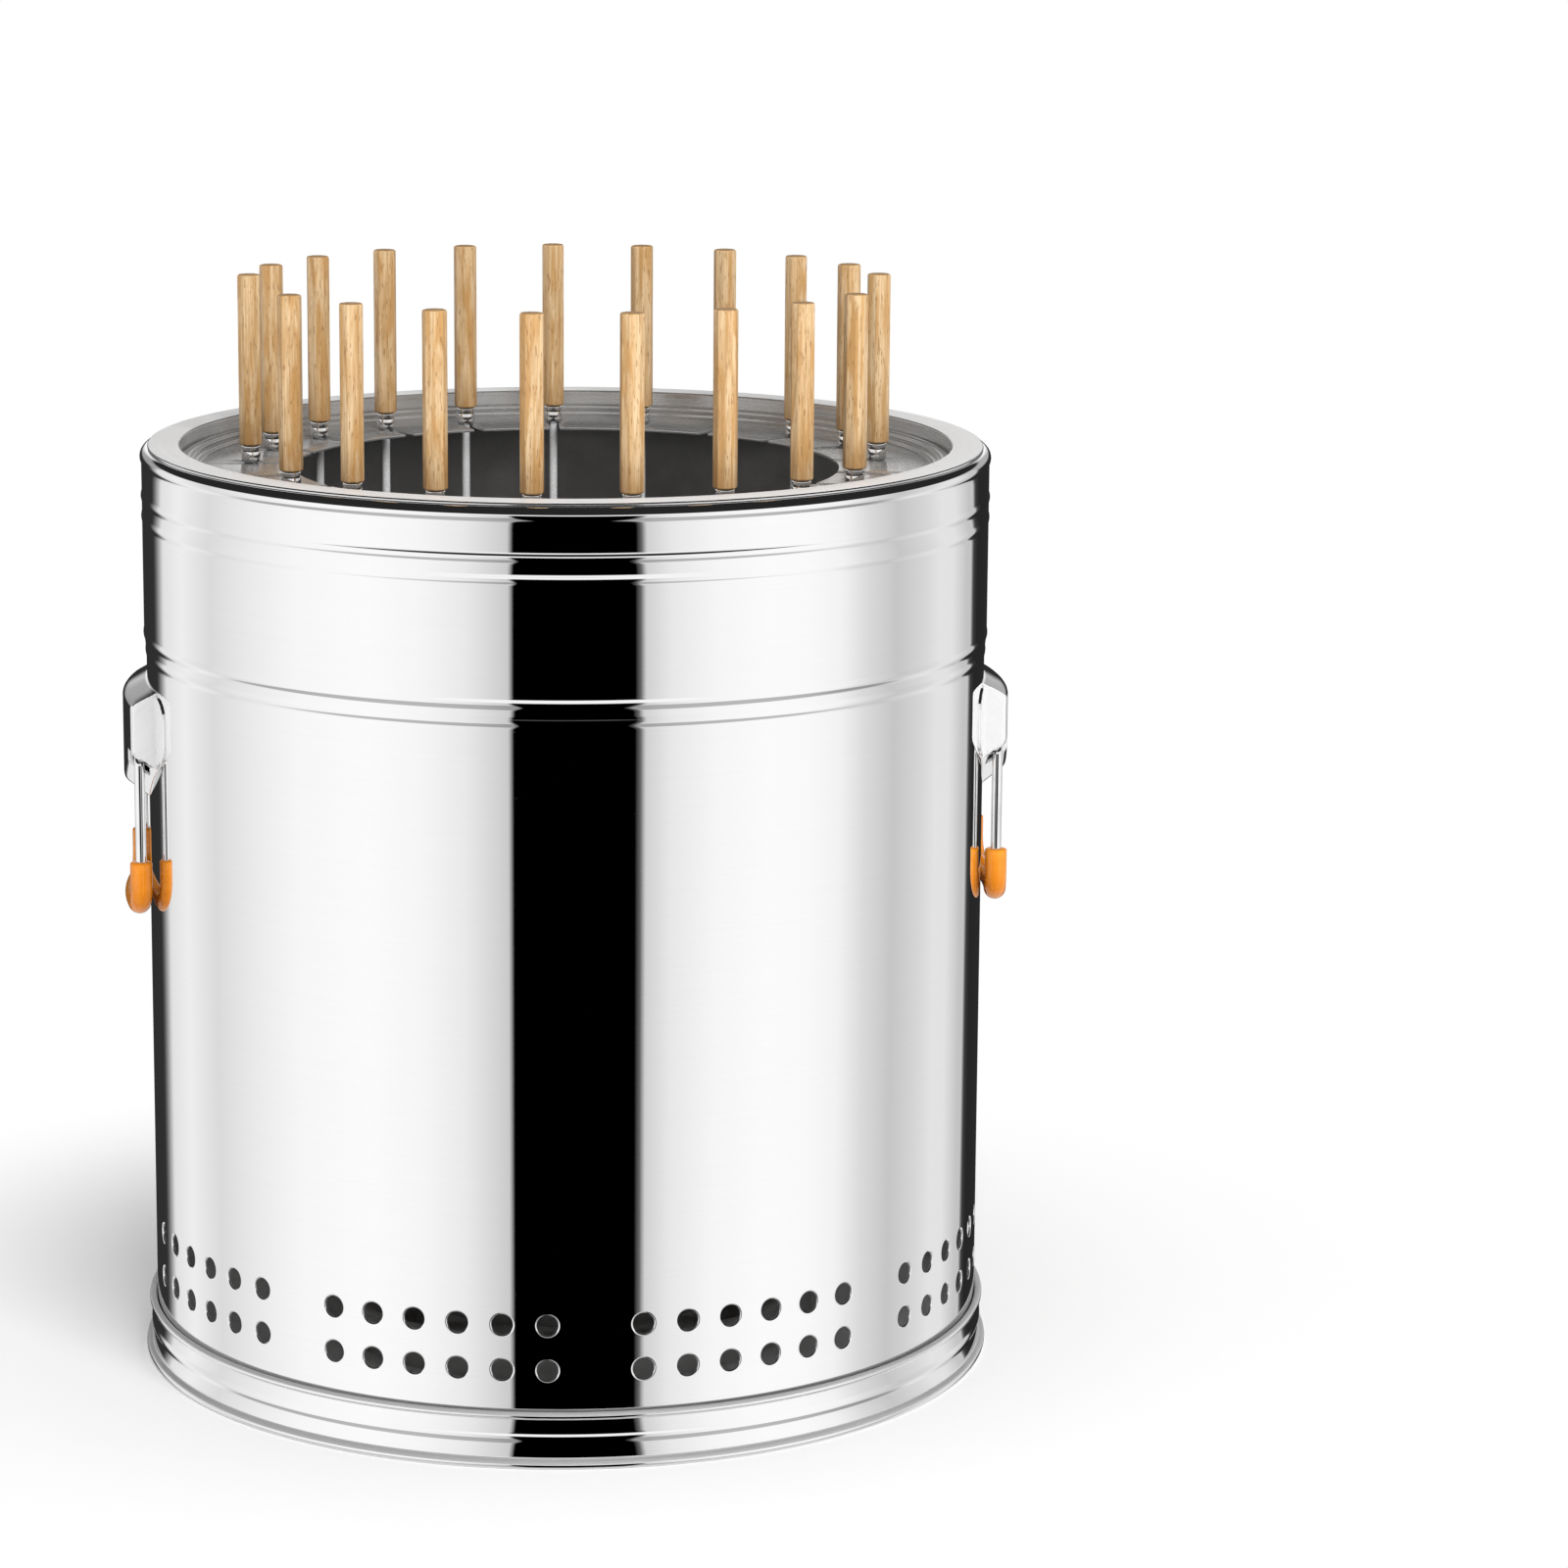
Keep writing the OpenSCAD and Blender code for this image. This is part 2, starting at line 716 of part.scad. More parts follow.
// Fixed wire arch that the basket is lifted by, with its legs against the inside of the cage
module basket_handle() color("silver") {
    arch_z = cage_z + cage_h;
    translate([0, 0, arch_z])
        rotate([90, 0, 0])
            rotate_extrude(angle = 180)
                translate([basket_arch_r, 0])
                    circle(d = basket_wire_d);
    for (side = [-1, 1])
        translate([side * basket_arch_r, 0, arch_z - basket_leg_l])
            cylinder(d = basket_wire_d, h = basket_leg_l);
}

barrel_wall();
base_ring();
base_plate();
right_bracket();
left_bracket();
right_lugs();
left_lugs();
right_bail();
left_bail();
right_sleeve();
left_sleeve();
ring_collar();
skewer_plate();
ash_pan();
basket_cage();
basket_grate();
basket_feet();
basket_handle();
for (i = skewers) skewer_handle(i);
for (i = skewers) skewer_rod(i);
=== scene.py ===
"""Looks of a portable charcoal grill: a polished barrel, a lift-off ring of hanging skewers and two bails."""
import math

import bmesh
import bpy
from mathutils import Matrix, Vector


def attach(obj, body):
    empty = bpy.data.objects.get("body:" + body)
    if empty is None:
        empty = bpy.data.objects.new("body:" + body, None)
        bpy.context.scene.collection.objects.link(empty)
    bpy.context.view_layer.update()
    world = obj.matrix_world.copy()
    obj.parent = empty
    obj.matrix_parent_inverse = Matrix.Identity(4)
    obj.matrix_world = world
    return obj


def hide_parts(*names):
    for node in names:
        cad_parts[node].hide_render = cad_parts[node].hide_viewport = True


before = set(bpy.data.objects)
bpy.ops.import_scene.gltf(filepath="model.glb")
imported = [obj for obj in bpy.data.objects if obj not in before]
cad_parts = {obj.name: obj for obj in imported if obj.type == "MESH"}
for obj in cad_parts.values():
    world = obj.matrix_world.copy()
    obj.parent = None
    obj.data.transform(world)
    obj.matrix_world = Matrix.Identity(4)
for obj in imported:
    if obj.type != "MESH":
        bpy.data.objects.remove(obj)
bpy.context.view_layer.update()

# Sizes are in millimetres and angles in degrees; a piece's points become metres when its mesh is made.
MM = 0.001

# Barrel wall
WALL_R = 200
WALL_T = 1
UPPER_R = 201
WALL_LOW = 13
STEP_Z = 348.5
STEP_BEADS = (344.35, 352.65)
THIN_BEADS = (408.3, 418)
BEAD_REACH = 4
BEAD_HALF = 2.8
WALL_MIDDLE = 210
NECK_LOW = 431.5
NECK_HIGH = 433.7
RIM_TOP = 440.5
RIM_ROLL = 4
RIM_ROLL_R = 197.7
RIM_ROLL_START = -33
RIM_UNDER = 435.5
MOUTH_R = 196.5
MOUTH_EDGE = 1.2
MOUTH_LIP = 1.6
MOUTH_LIP_Z = 437.1

# Base ring
SKIRT_R = 202.5
SKIRT_IN_R = 201.5
SKIRT_BEAD = 14.2
SKIRT_EDGE_R = 202
SKIRT_EDGE_Z = 24.7
SKIRT_EDGE_ROLL = 1.8
FOOT_R = 203.58
FOOT_ROLL = 2
FOOT_IN_R = 196.5
FOOT_NECK_R = 203.7
FOOT_NECK_Z = 5.2
FOOT_NECK = 1.2
SHELF_R = 195.5
SHELF_LOW = 11
SHELF_HIGH = 12

# How far each bead stands out, by its height
BEAD_OUT = {
    SKIRT_BEAD: 0.44,
    STEP_BEADS[0]: 0.345,
    STEP_BEADS[1]: 0.44,
    THIN_BEADS[0]: 0.39,
    THIN_BEADS[1]: 0.47,
}

# Vents
VENT_R = 4.9
VENT_ROWS = (45.5, 66.8)
VENT_ROW_GAP = 21.3
VENT_GROUPS = 8
VENT_COLUMNS = 6
VENT_COLUMN_TURN = math.degrees(20.7 / WALL_R)
VENT_GROUP_TURN = 42.2
VENT_TURN = -0.2
VENT_SIDE_CELLS = 8
VENT_GAP_CELLS = 5
PLAIN_WALL_CELLS = 16
# Rings of points around a vent: on the sheet outside, over its drawn-in edge and on the sheet inside
VENT_OUTER_RINGS = (7.6, 6.2, 5.9)
VENT_DRAW = 0.95
VENT_DRAW_DEPTH = 0.7
VENT_DRAW_STEPS = (0, 0.3, 0.6, 0.95, 1.25, 1.571)
VENT_INNER_RINGS = (5.6, 7.2)

# Side handles
BRACKET_LOW = 275
BRACKET_HIGH = 331
BRACKET_OUT = 11.6
BRACKET_FACE_Y = 44
BRACKET_FOOT_Y = 45
BRACKET_TOP_BEVEL = 6.5
BRACKET_LOW_BEVEL = 9.5
BRACKET_SHEET = 1.2
BRACKET_END_ROUND = 1.5
BRACKET_SOFT = 2.5
BRACKET_END_SOFT = 1.2
# The grid that a bracket's sheet is cut from: runs of columns (start, step, count), the tabs' last columns, and rows
BRACKET_COLUMNS = (
    (0, 1.5, 21), (31.5, 0.4, 28), (42.65, 0.15, 9), (44, 0.1, 11), (45.3, 0.4, 2), (46.2, 0.8, 1), (47, 1, 11),
)
TAB_END_COLUMNS = [58.4, 58.7, 58.9, 59]
BRACKET_ROWS = 78
CORNER_Y = 15
CORNER_FOOT_Z = 294
CORNER_FACE_Z = 302
TAB_T = 1
TAB_Y = 59
TAB_LOW = 296
TAB_HIGH = 329
TAB_ROUND = 12
TAB_EASE = 0.5
TAB_SOFT = 1.5
NOTCH_HALF = 3.5
NOTCH_BACK_R = 4
NOTCH_TOP = 301.9
NOTCH_LIP = 0.8
PIVOT_Z = 299
LEG_X = 203.683
LEG_Y = 38
BAIL_R = 206.85
GRIP_TURN = 7.2477
GRIP_Z = 226.5
GRIP_BEND = 12
PIN_BEND = 4.5
PIN_L = 6
WIRE_R = 2.5
SLEEVE_R = 5.25
SLEEVE_RISE = 22
SLEEVE_GAP = 0.1
# Rounded ends of the wire and the sleeve: (shift along, inset)
WIRE_END = ((0, 0.5), (0.15, 0.15), (0.5, 0))
SLEEVE_LIP = ((0.0, 1.1), (0.12, 0.6), (0.45, 0.2), (1.0, 0))

# Skewer ring
RING_TOP = 442
RING_R = 198
WELL_R = 183
COLLAR_T = 1.5
SEAT_R = 179.9
LIP_R = 196.1
LIP_IN_R = 194.6
LIP_LOW = 432.5
RING_CELLS = 400
PLATE_EDGE_R = 181.5
PLATE_EDGE_Z = 435.5
PLATE_STEP = 2.5
OUTER_STEP_R = 178
INNER_STEP_R = 174.5
PLATE_Z = 430.5
PLATE_T = 1.5
# The eased edge of the plate's opening and slots: (depth, inset)
PLATE_EASE = ((0, 0.45), (0.1, 0.12), (0.4, 0), (1.1, 0), (1.4, 0.12), (1.5, 0.45))
PLATE_FLAT_R = 171.5
OPENING_R = 129.5
HANG_R = 150
SLOT_HALF = 2.5
SLOT_COUNT = 21
SLOT_TURN = 3
SLOT_SPREAD = 3.2
SLOT_SIDE_SHARES = (0.1, 0.4, 0.7, 1)
OPENING_CELLS = 14
EMPTY_SLOTS = (11, 20)

# Skewers
ROD_R = 2
ROD_L = 370
POINT_L = 14
FERRULE_R = 4.5
FERRULE_H = 8.5
FERRULE_ROUND = 1.9
# The groove around a ferrule: (height, depth)
FERRULE_GROOVE = ((5.4, 0), (5.7, 0.12), (6.0, 0.42), (6.4, 0.42), (6.7, 0.12), (7.0, 0), (8.1, 0))
HANDLE_HALF = 5.25
HANDLE_L = 81
HANDLE_FOOT = PLATE_Z + FERRULE_H
HANDLE_EDGE = 1.0
HANDLE_DARK_FOOT = 18
# The rounded ends of a wooden handle: (height, inset), and the levels between them
HANDLE_ENDS = [(0.0, 1.0), (0.1, 0.62), (0.32, 0.3), (0.65, 0.1), (1.1, 0.0)]
HANDLE_LEVELS = [(20, 0), (40, 0), (60, 0)]


# Shader helpers


def plug(tree, socket, value):
    """Sets an input socket to a plain value, or links it to another node's output."""
    if isinstance(value, bpy.types.NodeSocket):
        tree.links.new(value, socket)
    else:
        socket.default_value = value


def add(tree, kind, settings=(), **inputs):
    """Adds a shader node with its settings, and its inputs by name."""
    made = tree.nodes.new("ShaderNode" + kind)
    for key, value in dict(settings).items():
        setattr(made, key, value)
    for key, value in inputs.items():
        plug(tree, made.inputs[key.replace("_", " ")], value)
    return made


def calc(tree, operation, *values, clamp=False):
    """A Math node's result."""
    made = tree.nodes.new("ShaderNodeMath")
    made.operation = operation
    made.use_clamp = clamp
    for socket, value in zip(made.inputs, values):
        plug(tree, socket, value)
    return made.outputs[0]


def between(tree, value, low, high, new_low=0.0, new_high=1.0, smooth=True):
    """A value carried from one range to another, held at both ends."""
    made = add(
        tree, "MapRange", {"interpolation_type": "SMOOTHSTEP" if smooth else "LINEAR"},
        Value=value, From_Min=low, From_Max=high, To_Min=new_low, To_Max=new_high,
    )
    return made.outputs["Result"]


def mix(tree, share, first, second):
    """Two colours mixed by a share."""
    made = tree.nodes.new("ShaderNodeMix")
    made.data_type = "RGBA"
    for index, value in ((0, share), (6, first), (7, second)):
        plug(tree, made.inputs[index], value)
    return made.outputs[2]


def grey(level):
    """A grey colour."""
    return (level, level, level, 1)


def axis_distance(tree, at):
    """Distance from the upright axis, from separated coordinates."""
    squares = [calc(tree, "MULTIPLY", at[n], at[n]) for n in (0, 1)]
    return calc(tree, "SQRT", calc(tree, "ADD", *squares))


def raise_marks(tree, shader, strength, distance, height):
    """Bumps on the surface by a height."""
    made = add(tree, "Bump", Strength=strength, Distance=distance, Height=height)
    plug(tree, shader.inputs["Normal"], made.outputs[0])


def new_group(name, inputs, outputs):
    """A shader node group with named sockets: the tree, its input node and its output node."""
    tree = bpy.data.node_groups.new(name, "ShaderNodeTree")
    for label, kind, value in inputs:
        socket = tree.interface.new_socket(label, in_out="INPUT", socket_type="NodeSocket" + kind)
        if value is not None:
            socket.default_value = value
    for label, kind in outputs:
        tree.interface.new_socket(label, in_out="OUTPUT", socket_type="NodeSocket" + kind)
    return tree, tree.nodes.new("NodeGroupInput"), tree.nodes.new("NodeGroupOutput")


def place(tree, group, **inputs):
    """A node group placed in a material, with its own values."""
    made = tree.nodes.new("ShaderNodeGroup")
    made.node_tree = group
    for key, value in inputs.items():
        plug(tree, made.inputs[key.replace("_", " ")], value)
    return made.outputs


def new_finish(name):
    """An empty material: its tree, its shader and the coordinates of the piece."""
    finish = bpy.data.materials.new(name)
    finish.use_nodes = True
    tree = finish.node_tree
    shader = tree.nodes["Principled BSDF"]
    where = add(tree, "TexCoord").outputs["Object"]
    return finish, tree, shader, where


# Effects that several finishes share


def polishing_lines_group():
    """Fine lines that a polishing wheel leaves around a turned piece: level on walls, in circles on flat rings."""
    tree, given, result = new_group(
        "polishing lines",
        [("Vector", "Vector", None), ("Lines per metre", "Float", 700.0), ("Length", "Float", 2.0)],
        [("Lines", "Float")],
    )
    at = add(tree, "SeparateXYZ", Vector=given.outputs["Vector"]).outputs
    radius = calc(tree, "MAXIMUM", axis_distance(tree, at), 0.001)
    along_x = calc(tree, "MULTIPLY", calc(tree, "DIVIDE", at[0], radius), given.outputs["Length"])
    along_y = calc(tree, "MULTIPLY", calc(tree, "DIVIDE", at[1], radius), given.outputs["Length"])
    across = calc(tree, "MULTIPLY", calc(tree, "ADD", at[2], radius), given.outputs["Lines per metre"])
    spot = add(tree, "CombineXYZ", X=along_x, Y=along_y, Z=across).outputs[0]
    noise = add(tree, "TexNoise", Vector=spot, Scale=1.0, Detail=5.0, Roughness=0.62)
    tree.links.new(between(tree, noise.outputs[0], 0.28, 0.72, smooth=False), result.inputs["Lines"])
    return tree


def smears_group():
    """Soft cloudy patches where a cloth or a hand has dulled the metal, and small specks."""
    tree, given, result = new_group(
        "smears",
        [("Vector", "Vector", None), ("Scale", "Float", 9.0)],
        [("Smears", "Float"), ("Specks", "Float")],
    )
    where, scale = given.outputs["Vector"], given.outputs["Scale"]
    cloud = add(tree, "TexNoise", Vector=where, Scale=scale, Detail=4.0, Distortion=0.6)
    tree.links.new(between(tree, cloud.outputs[0], 0.42, 0.7), result.inputs["Smears"])
    fine = add(tree, "TexNoise", Vector=where, Scale=calc(tree, "MULTIPLY", scale, 60.0), Detail=2.0)
    tree.links.new(between(tree, fine.outputs[0], 0.66, 0.78), result.inputs["Specks"])
    return tree


def soot_and_shade_group():
    """Smoke and ash on the parts near the fire, and painted shade on the barrel's inside: heavy at the Low height,
    patchy at the High height.
    """
    tree, given, result = new_group(
        "soot_and_shade",
        [("Vector", "Vector", None), ("Low", "Float", 0.0), ("High", "Float", 0.4)],
        [("Soot and shade", "Float"), ("Grain", "Float")],
    )
    where = given.outputs["Vector"]
    height = add(tree, "SeparateXYZ", Vector=where).outputs[2]
    cloud = add(tree, "TexNoise", Vector=where, Scale=14.0, Detail=6.0, Roughness=0.65)
    climb = between(tree, height, given.outputs["Low"], given.outputs["High"], 1.0, 0.1, smooth=False)
    patch = between(tree, cloud.outputs[0], 0.3, 0.75, -0.25, 0.25, smooth=False)
    tree.links.new(calc(tree, "ADD", climb, patch, clamp=True), result.inputs["Soot and shade"])
    fine = add(tree, "TexNoise", Vector=where, Scale=420.0, Detail=3.0)
    tree.links.new(fine.outputs[0], result.inputs["Grain"])
    return tree


POLISHING_LINES = polishing_lines_group()
SMEARS = smears_group()
SOOT_AND_SHADE = soot_and_shade_group()


# Finishes


def polished_sheet(name, dark, light, sheen, lines_per_metre, line_length, metal=1.0):
    """Bare steel sheet, brighter and darker along its polishing lines, dulled in soft patches."""
    finish, tree, shader, where = new_finish(name)
    lines = place(tree, POLISHING_LINES, Vector=where, Lines_per_metre=lines_per_metre, Length=line_length)["Lines"]
    smears = place(tree, SMEARS, Vector=where, Scale=7.0)
    plug(tree, shader.inputs["Base Color"], mix(tree, lines, grey(dark), grey(light)))
    rough = calc(tree, "MULTIPLY_ADD", lines, sheen * 0.5, sheen * 0.7)
    rough = calc(tree, "MULTIPLY_ADD", smears["Smears"], sheen * 0.35, rough)
    plug(tree, shader.inputs["Roughness"], calc(tree, "MULTIPLY_ADD", smears["Specks"], 0.04, rough))
    raise_marks(tree, shader, 0.01, 0.0002, lines)
    shader.inputs["Metallic"].default_value = metal
    return finish


def drawn_wire(name, dark, light, sheen, metal=1.0):
    """Bright drawn wire with faint drawing marks and smears."""
    finish, tree, shader, where = new_finish(name)
    marks = add(tree, "TexNoise", Vector=where, Scale=900.0, Detail=3.0)
    smears = place(tree, SMEARS, Vector=where, Scale=45.0)
    plug(tree, shader.inputs["Base Color"], mix(tree, smears["Smears"], grey(light), grey(dark)))
    rough = calc(tree, "MULTIPLY_ADD", marks.outputs[0], sheen * 0.6, sheen * 0.6)
    plug(tree, shader.inputs["Roughness"], calc(tree, "MULTIPLY_ADD", smears["Specks"], 0.06, rough))
    raise_marks(tree, shader, 0.012, 0.0001, marks.outputs[0])
    shader.inputs["Metallic"].default_value = metal
    return finish


def soot_and_shade_sheet(name, clean, soot_and_shade_colour, low, high, sheen, metal):
    """Steel that is dull and grained, darkened by soot where it has stood over the fire, and by painted shade on the
    barrel's inside.
    """
    finish, tree, shader, where = new_finish(name)
    soot_and_shade = place(tree, SOOT_AND_SHADE, Vector=where, Low=low, High=high)
    lines = place(tree, POLISHING_LINES, Vector=where, Lines_per_metre=350.0, Length=1.5)["Lines"]
    bare = mix(tree, lines, clean, [0.8 * c for c in clean[:3]] + [1])
    # The base colour darkens with the soot value: soot on the ash pan and basket, painted shade on the barrel's
    # inside.
    plug(tree, shader.inputs["Base Color"], mix(tree, soot_and_shade["Soot and shade"], bare, soot_and_shade_colour))
    plug(tree, shader.inputs["Roughness"], calc(tree, "MULTIPLY_ADD", soot_and_shade["Soot and shade"], 0.3, sheen))
    raise_marks(tree, shader, 0.15, 0.0003, soot_and_shade["Grain"])
    shader.inputs["Metallic"].default_value = metal
    return finish


def dipped_plastic(name):
    """Soft orange plastic that the grip was dipped in: slightly uneven, with a waxy gloss."""
    finish, tree, shader, where = new_finish(name)
    cloud = add(tree, "TexNoise", Vector=where, Scale=60.0, Detail=3.0).outputs[0]
    skin = add(tree, "TexNoise", Vector=where, Scale=900.0, Detail=2.0).outputs[0]
    smears = place(tree, SMEARS, Vector=where, Scale=80.0)
    colour = mix(tree, between(tree, cloud, 0.35, 0.65), (0.80, 0.245, 0.010, 1), (0.90, 0.305, 0.018, 1))
    colour = mix(tree, calc(tree, "MULTIPLY", smears["Specks"], 0.5), colour, (0.60, 0.18, 0.015, 1))
    plug(tree, shader.inputs["Base Color"], colour)
    plug(tree, shader.inputs["Roughness"], calc(tree, "MULTIPLY_ADD", skin, 0.14, 0.10))
    raise_marks(tree, shader, 0.12, 0.0002, skin)
    return finish


def beech_wood(name):
    """Pale beech: growth streaks, fine fibres, short dark flecks, a darker foot and browner sawn ends."""
    finish, tree, shader, where = new_finish(name)

    def along(across, length):
        return add(tree, "Mapping", Vector=where, Scale=(across, across, length)).outputs[0]

    streaks = add(tree, "TexNoise", Vector=along(230.0, 19.0), Scale=1.0, Detail=5.0, Distortion=1.4).outputs[0]
    fibres = add(tree, "TexNoise", Vector=along(1500.0, 45.0), Scale=1.0, Detail=4.0, Roughness=0.65).outputs[0]
    flecks = add(tree, "TexNoise", Vector=along(1300.0, 190.0), Scale=1.0, Detail=1.0).outputs[0]
    flecks = between(tree, flecks, 0.6, 0.7)
    colour = mix(tree, between(tree, streaks, 0.36, 0.62), (0.55, 0.305, 0.108, 1), (0.745, 0.54, 0.315, 1))
    colour = mix(tree, between(tree, fibres, 0.4, 0.62, 0.0, 0.5), colour, (0.45, 0.26, 0.105, 1))
    colour = mix(tree, calc(tree, "MULTIPLY", flecks, 0.65), colour, (0.29, 0.145, 0.05, 1))
    height = add(tree, "SeparateXYZ", Vector=where).outputs[2]
    # Darker towards the handle's foot.
    darker_toward_foot = between(tree, height, HANDLE_FOOT * MM, (HANDLE_FOOT + HANDLE_DARK_FOOT) * MM, 0.45, 0.0)
    colour = mix(tree, darker_toward_foot, colour, (0.36, 0.19, 0.07, 1))
    facing = add(tree, "SeparateXYZ", Vector=add(tree, "TexCoord").outputs["Normal"]).outputs[2]
    sawn = between(tree, calc(tree, "ABSOLUTE", facing), 0.55, 0.9)
    rings = add(tree, "TexNoise", Vector=where, Scale=700.0, Detail=3.0).outputs[0]
    end_colour = mix(tree, rings, (0.29, 0.155, 0.06, 1), (0.47, 0.29, 0.13, 1))
    plug(tree, shader.inputs["Base Color"], mix(tree, sawn, colour, end_colour))
    plug(tree, shader.inputs["Roughness"], between(tree, fibres, 0.3, 0.7, 0.42, 0.62, smooth=False))
    raise_marks(tree, shader, 0.2, 0.0002, fibres)
    return finish


BARREL_POLISH = polished_sheet("barrel polish", 0.935, 0.952, 0.015, 800.0, 2.0)
SKIRT_SATIN = polished_sheet("skirt edge satin", 0.88, 0.94, 0.4, 500.0, 0.6, metal=0.65)
RING_SATIN = polished_sheet("ring flange satin", 0.90, 0.95, 0.45, 900.0, 0.5, metal=0.22)
RING_POLISH = polished_sheet("ring edge polish", 0.78, 0.84, 0.1, 900.0, 0.5)
PLATE_STEEL = polished_sheet("skewer plate steel", 0.56, 0.68, 0.24, 900.0, 0.5, metal=0.75)
BRACKET_POLISH = polished_sheet("bracket polish", 0.90, 0.95, 0.05, 300.0, 40.0)
BRACKET_SATIN = polished_sheet("bracket end satin", 0.86, 0.92, 0.5, 300.0, 40.0, metal=0.35)
WIRE_BRIGHT = drawn_wire("bright wire", 0.82, 0.94, 0.05)
ROD_BRIGHT = drawn_wire("bright rod", 0.86, 0.93, 0.28, metal=0.2)
# The barrel's inside: painted shade darkens the upper inside wall, where the barrel's hollow lies in shade, with
# patchy soot and grain over it.
INSIDE_SHADE_AND_SOOT = soot_and_shade_sheet(
    "barrel inside, painted shade and soot", (0.92, 0.92, 0.92, 1), (0.36, 0.36, 0.363, 1), 0.30, 0.12, 0.25, 0.86
)
FLOOR_STEEL = polished_sheet("base plate steel", 0.88, 0.94, 0.45, 500.0, 0.6, metal=0.2)
PAN_SMOKED = soot_and_shade_sheet(
    "ash pan steel", (0.76, 0.755, 0.75, 1), (0.55, 0.545, 0.54, 1), 0.0, 0.04, 0.3, 0.3
)
BASKET_SMOKED = soot_and_shade_sheet(
    "charcoal basket steel", (0.74, 0.735, 0.73, 1), (0.52, 0.515, 0.51, 1), 0.0, 0.20, 0.3, 0.3
)
GRIP_ORANGE = dipped_plastic("orange grip")
HANDLE_BEECH = beech_wood("beech handle")


# Mesh helpers


def make_piece(name, points, faces, finishes, body, nodes, crease=38, finish_of=None, normal_of=None):
    """Makes a closed mesh from points and faces, lets it ride on a body and stand for CAD nodes."""
    mesh = bpy.data.meshes.new(name)
    mesh.from_pydata([Vector(p) * MM for p in points], [], faces)
    shape = bmesh.new()
    shape.from_mesh(mesh)
    bmesh.ops.remove_doubles(shape, verts=shape.verts, dist=2e-6)
    bmesh.ops.recalc_face_normals(shape, faces=shape.faces)
    for face in shape.faces:
        face.smooth = True
        if finish_of:
            face.material_index = finish_of(face.calc_center_median() / MM, face.normal)
    shape.to_mesh(mesh)
    shape.free()
    mesh.set_sharp_from_angle(angle=math.radians(crease))
    if normal_of:
        true_normals = []
        for face in mesh.polygons:
            true_normals += [normal_of(mesh.vertices[n].co / MM, face.normal) for n in face.vertices]
        mesh.normals_split_custom_set(true_normals)
    for finish in finishes:
        mesh.materials.append(finish)
    piece = bpy.data.objects.new(name, mesh)
    bpy.context.scene.collection.objects.link(piece)
    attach(piece, body)
    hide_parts(*nodes)
    return piece


def filleted(corners, steps=5):
    """A closed outline's corners, each (x, y, fillet radius), as points with the fillets drawn in."""
    points = []
    for i, (x, y, fillet) in enumerate(corners):
        corner = Vector((x, y))
        if not fillet:
            points.append((x, y))
            continue
        back = (Vector(corners[i - 1][:2]) - corner).normalized()
        ahead = (Vector(corners[(i + 1) % len(corners)][:2]) - corner).normalized()
        half = back.angle(ahead) / 2
        middle = corner + (back + ahead).normalized() * fillet / math.sin(half)
        start = corner + back * fillet / math.tan(half) - middle
        turn = math.pi - 2 * half
        if back.x * ahead.y - back.y * ahead.x > 0:
            turn = -turn
        for k in range(steps + 1):
            spoke = start.copy()
            spoke.rotate(Matrix.Rotation(turn * k / steps, 2))
            points.append(tuple(middle + spoke))
    return points


def bead(r, z):
    """A rolled bead on an upright sheet, from below to above."""
    points = []
    for k in range(-6, 7):
        share = k / 6
        points.append((r + BEAD_OUT[z] * math.cos(math.pi / 2 * share) ** 2, z + BEAD_HALF * share))
    return points


def beaded_step():
    """The soft step from the lower wall out to the upper wall, with a bead at its foot and one at its head."""
    low, high = STEP_BEADS[0] - BEAD_REACH, STEP_BEADS[1] + BEAD_REACH
    points = []
    for k in range(49):
        z = low + (high - low) * k / 48
        share = (z - low) / (high - low)
        r = WALL_R + (UPPER_R - WALL_R) * share * share * (3 - 2 * share)
        for middle in STEP_BEADS:
            r += BEAD_OUT[middle] * math.cos(math.pi / 2 * min(abs(z - middle) / BEAD_HALF, 1)) ** 2
        points.append((r, z))
    return points


def arc(x, y, r, first, last, steps):
    """Points on a circle from one angle to another."""
    turns = [math.radians(first + (last - first) * k / steps) for k in range(steps + 1)]
    return [(x + r * math.cos(t), y + r * math.sin(t)) for t in turns]


def turned(section, turns, closed=True, axis=(0, 0), base=0):
    """Points and faces of a section of (radius, height) turned about an upright axis, at the turns in degrees."""
    count = len(section)
    points = []
    for t in turns:
        c, s = math.cos(math.radians(t)), math.sin(math.radians(t))
        points += [(axis[0] + r * c, axis[1] + r * s, z) for r, z in section]
    faces = []
    for i in range(len(turns)):
        here, there = i * count, (i + 1) % len(turns) * count
        for j in range(count if closed else count - 1):
            k = (j + 1) % count
            faces.append([base + n for n in (here + j, there + j, there + k, here + k)])
    return points, faces


def turned_by(p, turn):
    """A point turned about the origin, in degrees."""
    c, s = math.cos(math.radians(turn)), math.sin(math.radians(turn))
    return (p[0] * c - p[1] * s, p[0] * s + p[1] * c)


def even_turns(count):
    """Even turns around the axis, in degrees."""
    return [360 * i / count for i in range(count)]


def strips(rows, count, closed=False):
    """Faces between rows of points, each row a loop of the same count; closed joins the last row to the first."""
    faces = []
    for i in range(rows if closed else rows - 1):
        here, there = i * count, (i + 1) % rows * count
        for k in range(count):
            n = (k + 1) % count
            faces.append([here + k, here + n, there + n, there + k])
    return faces


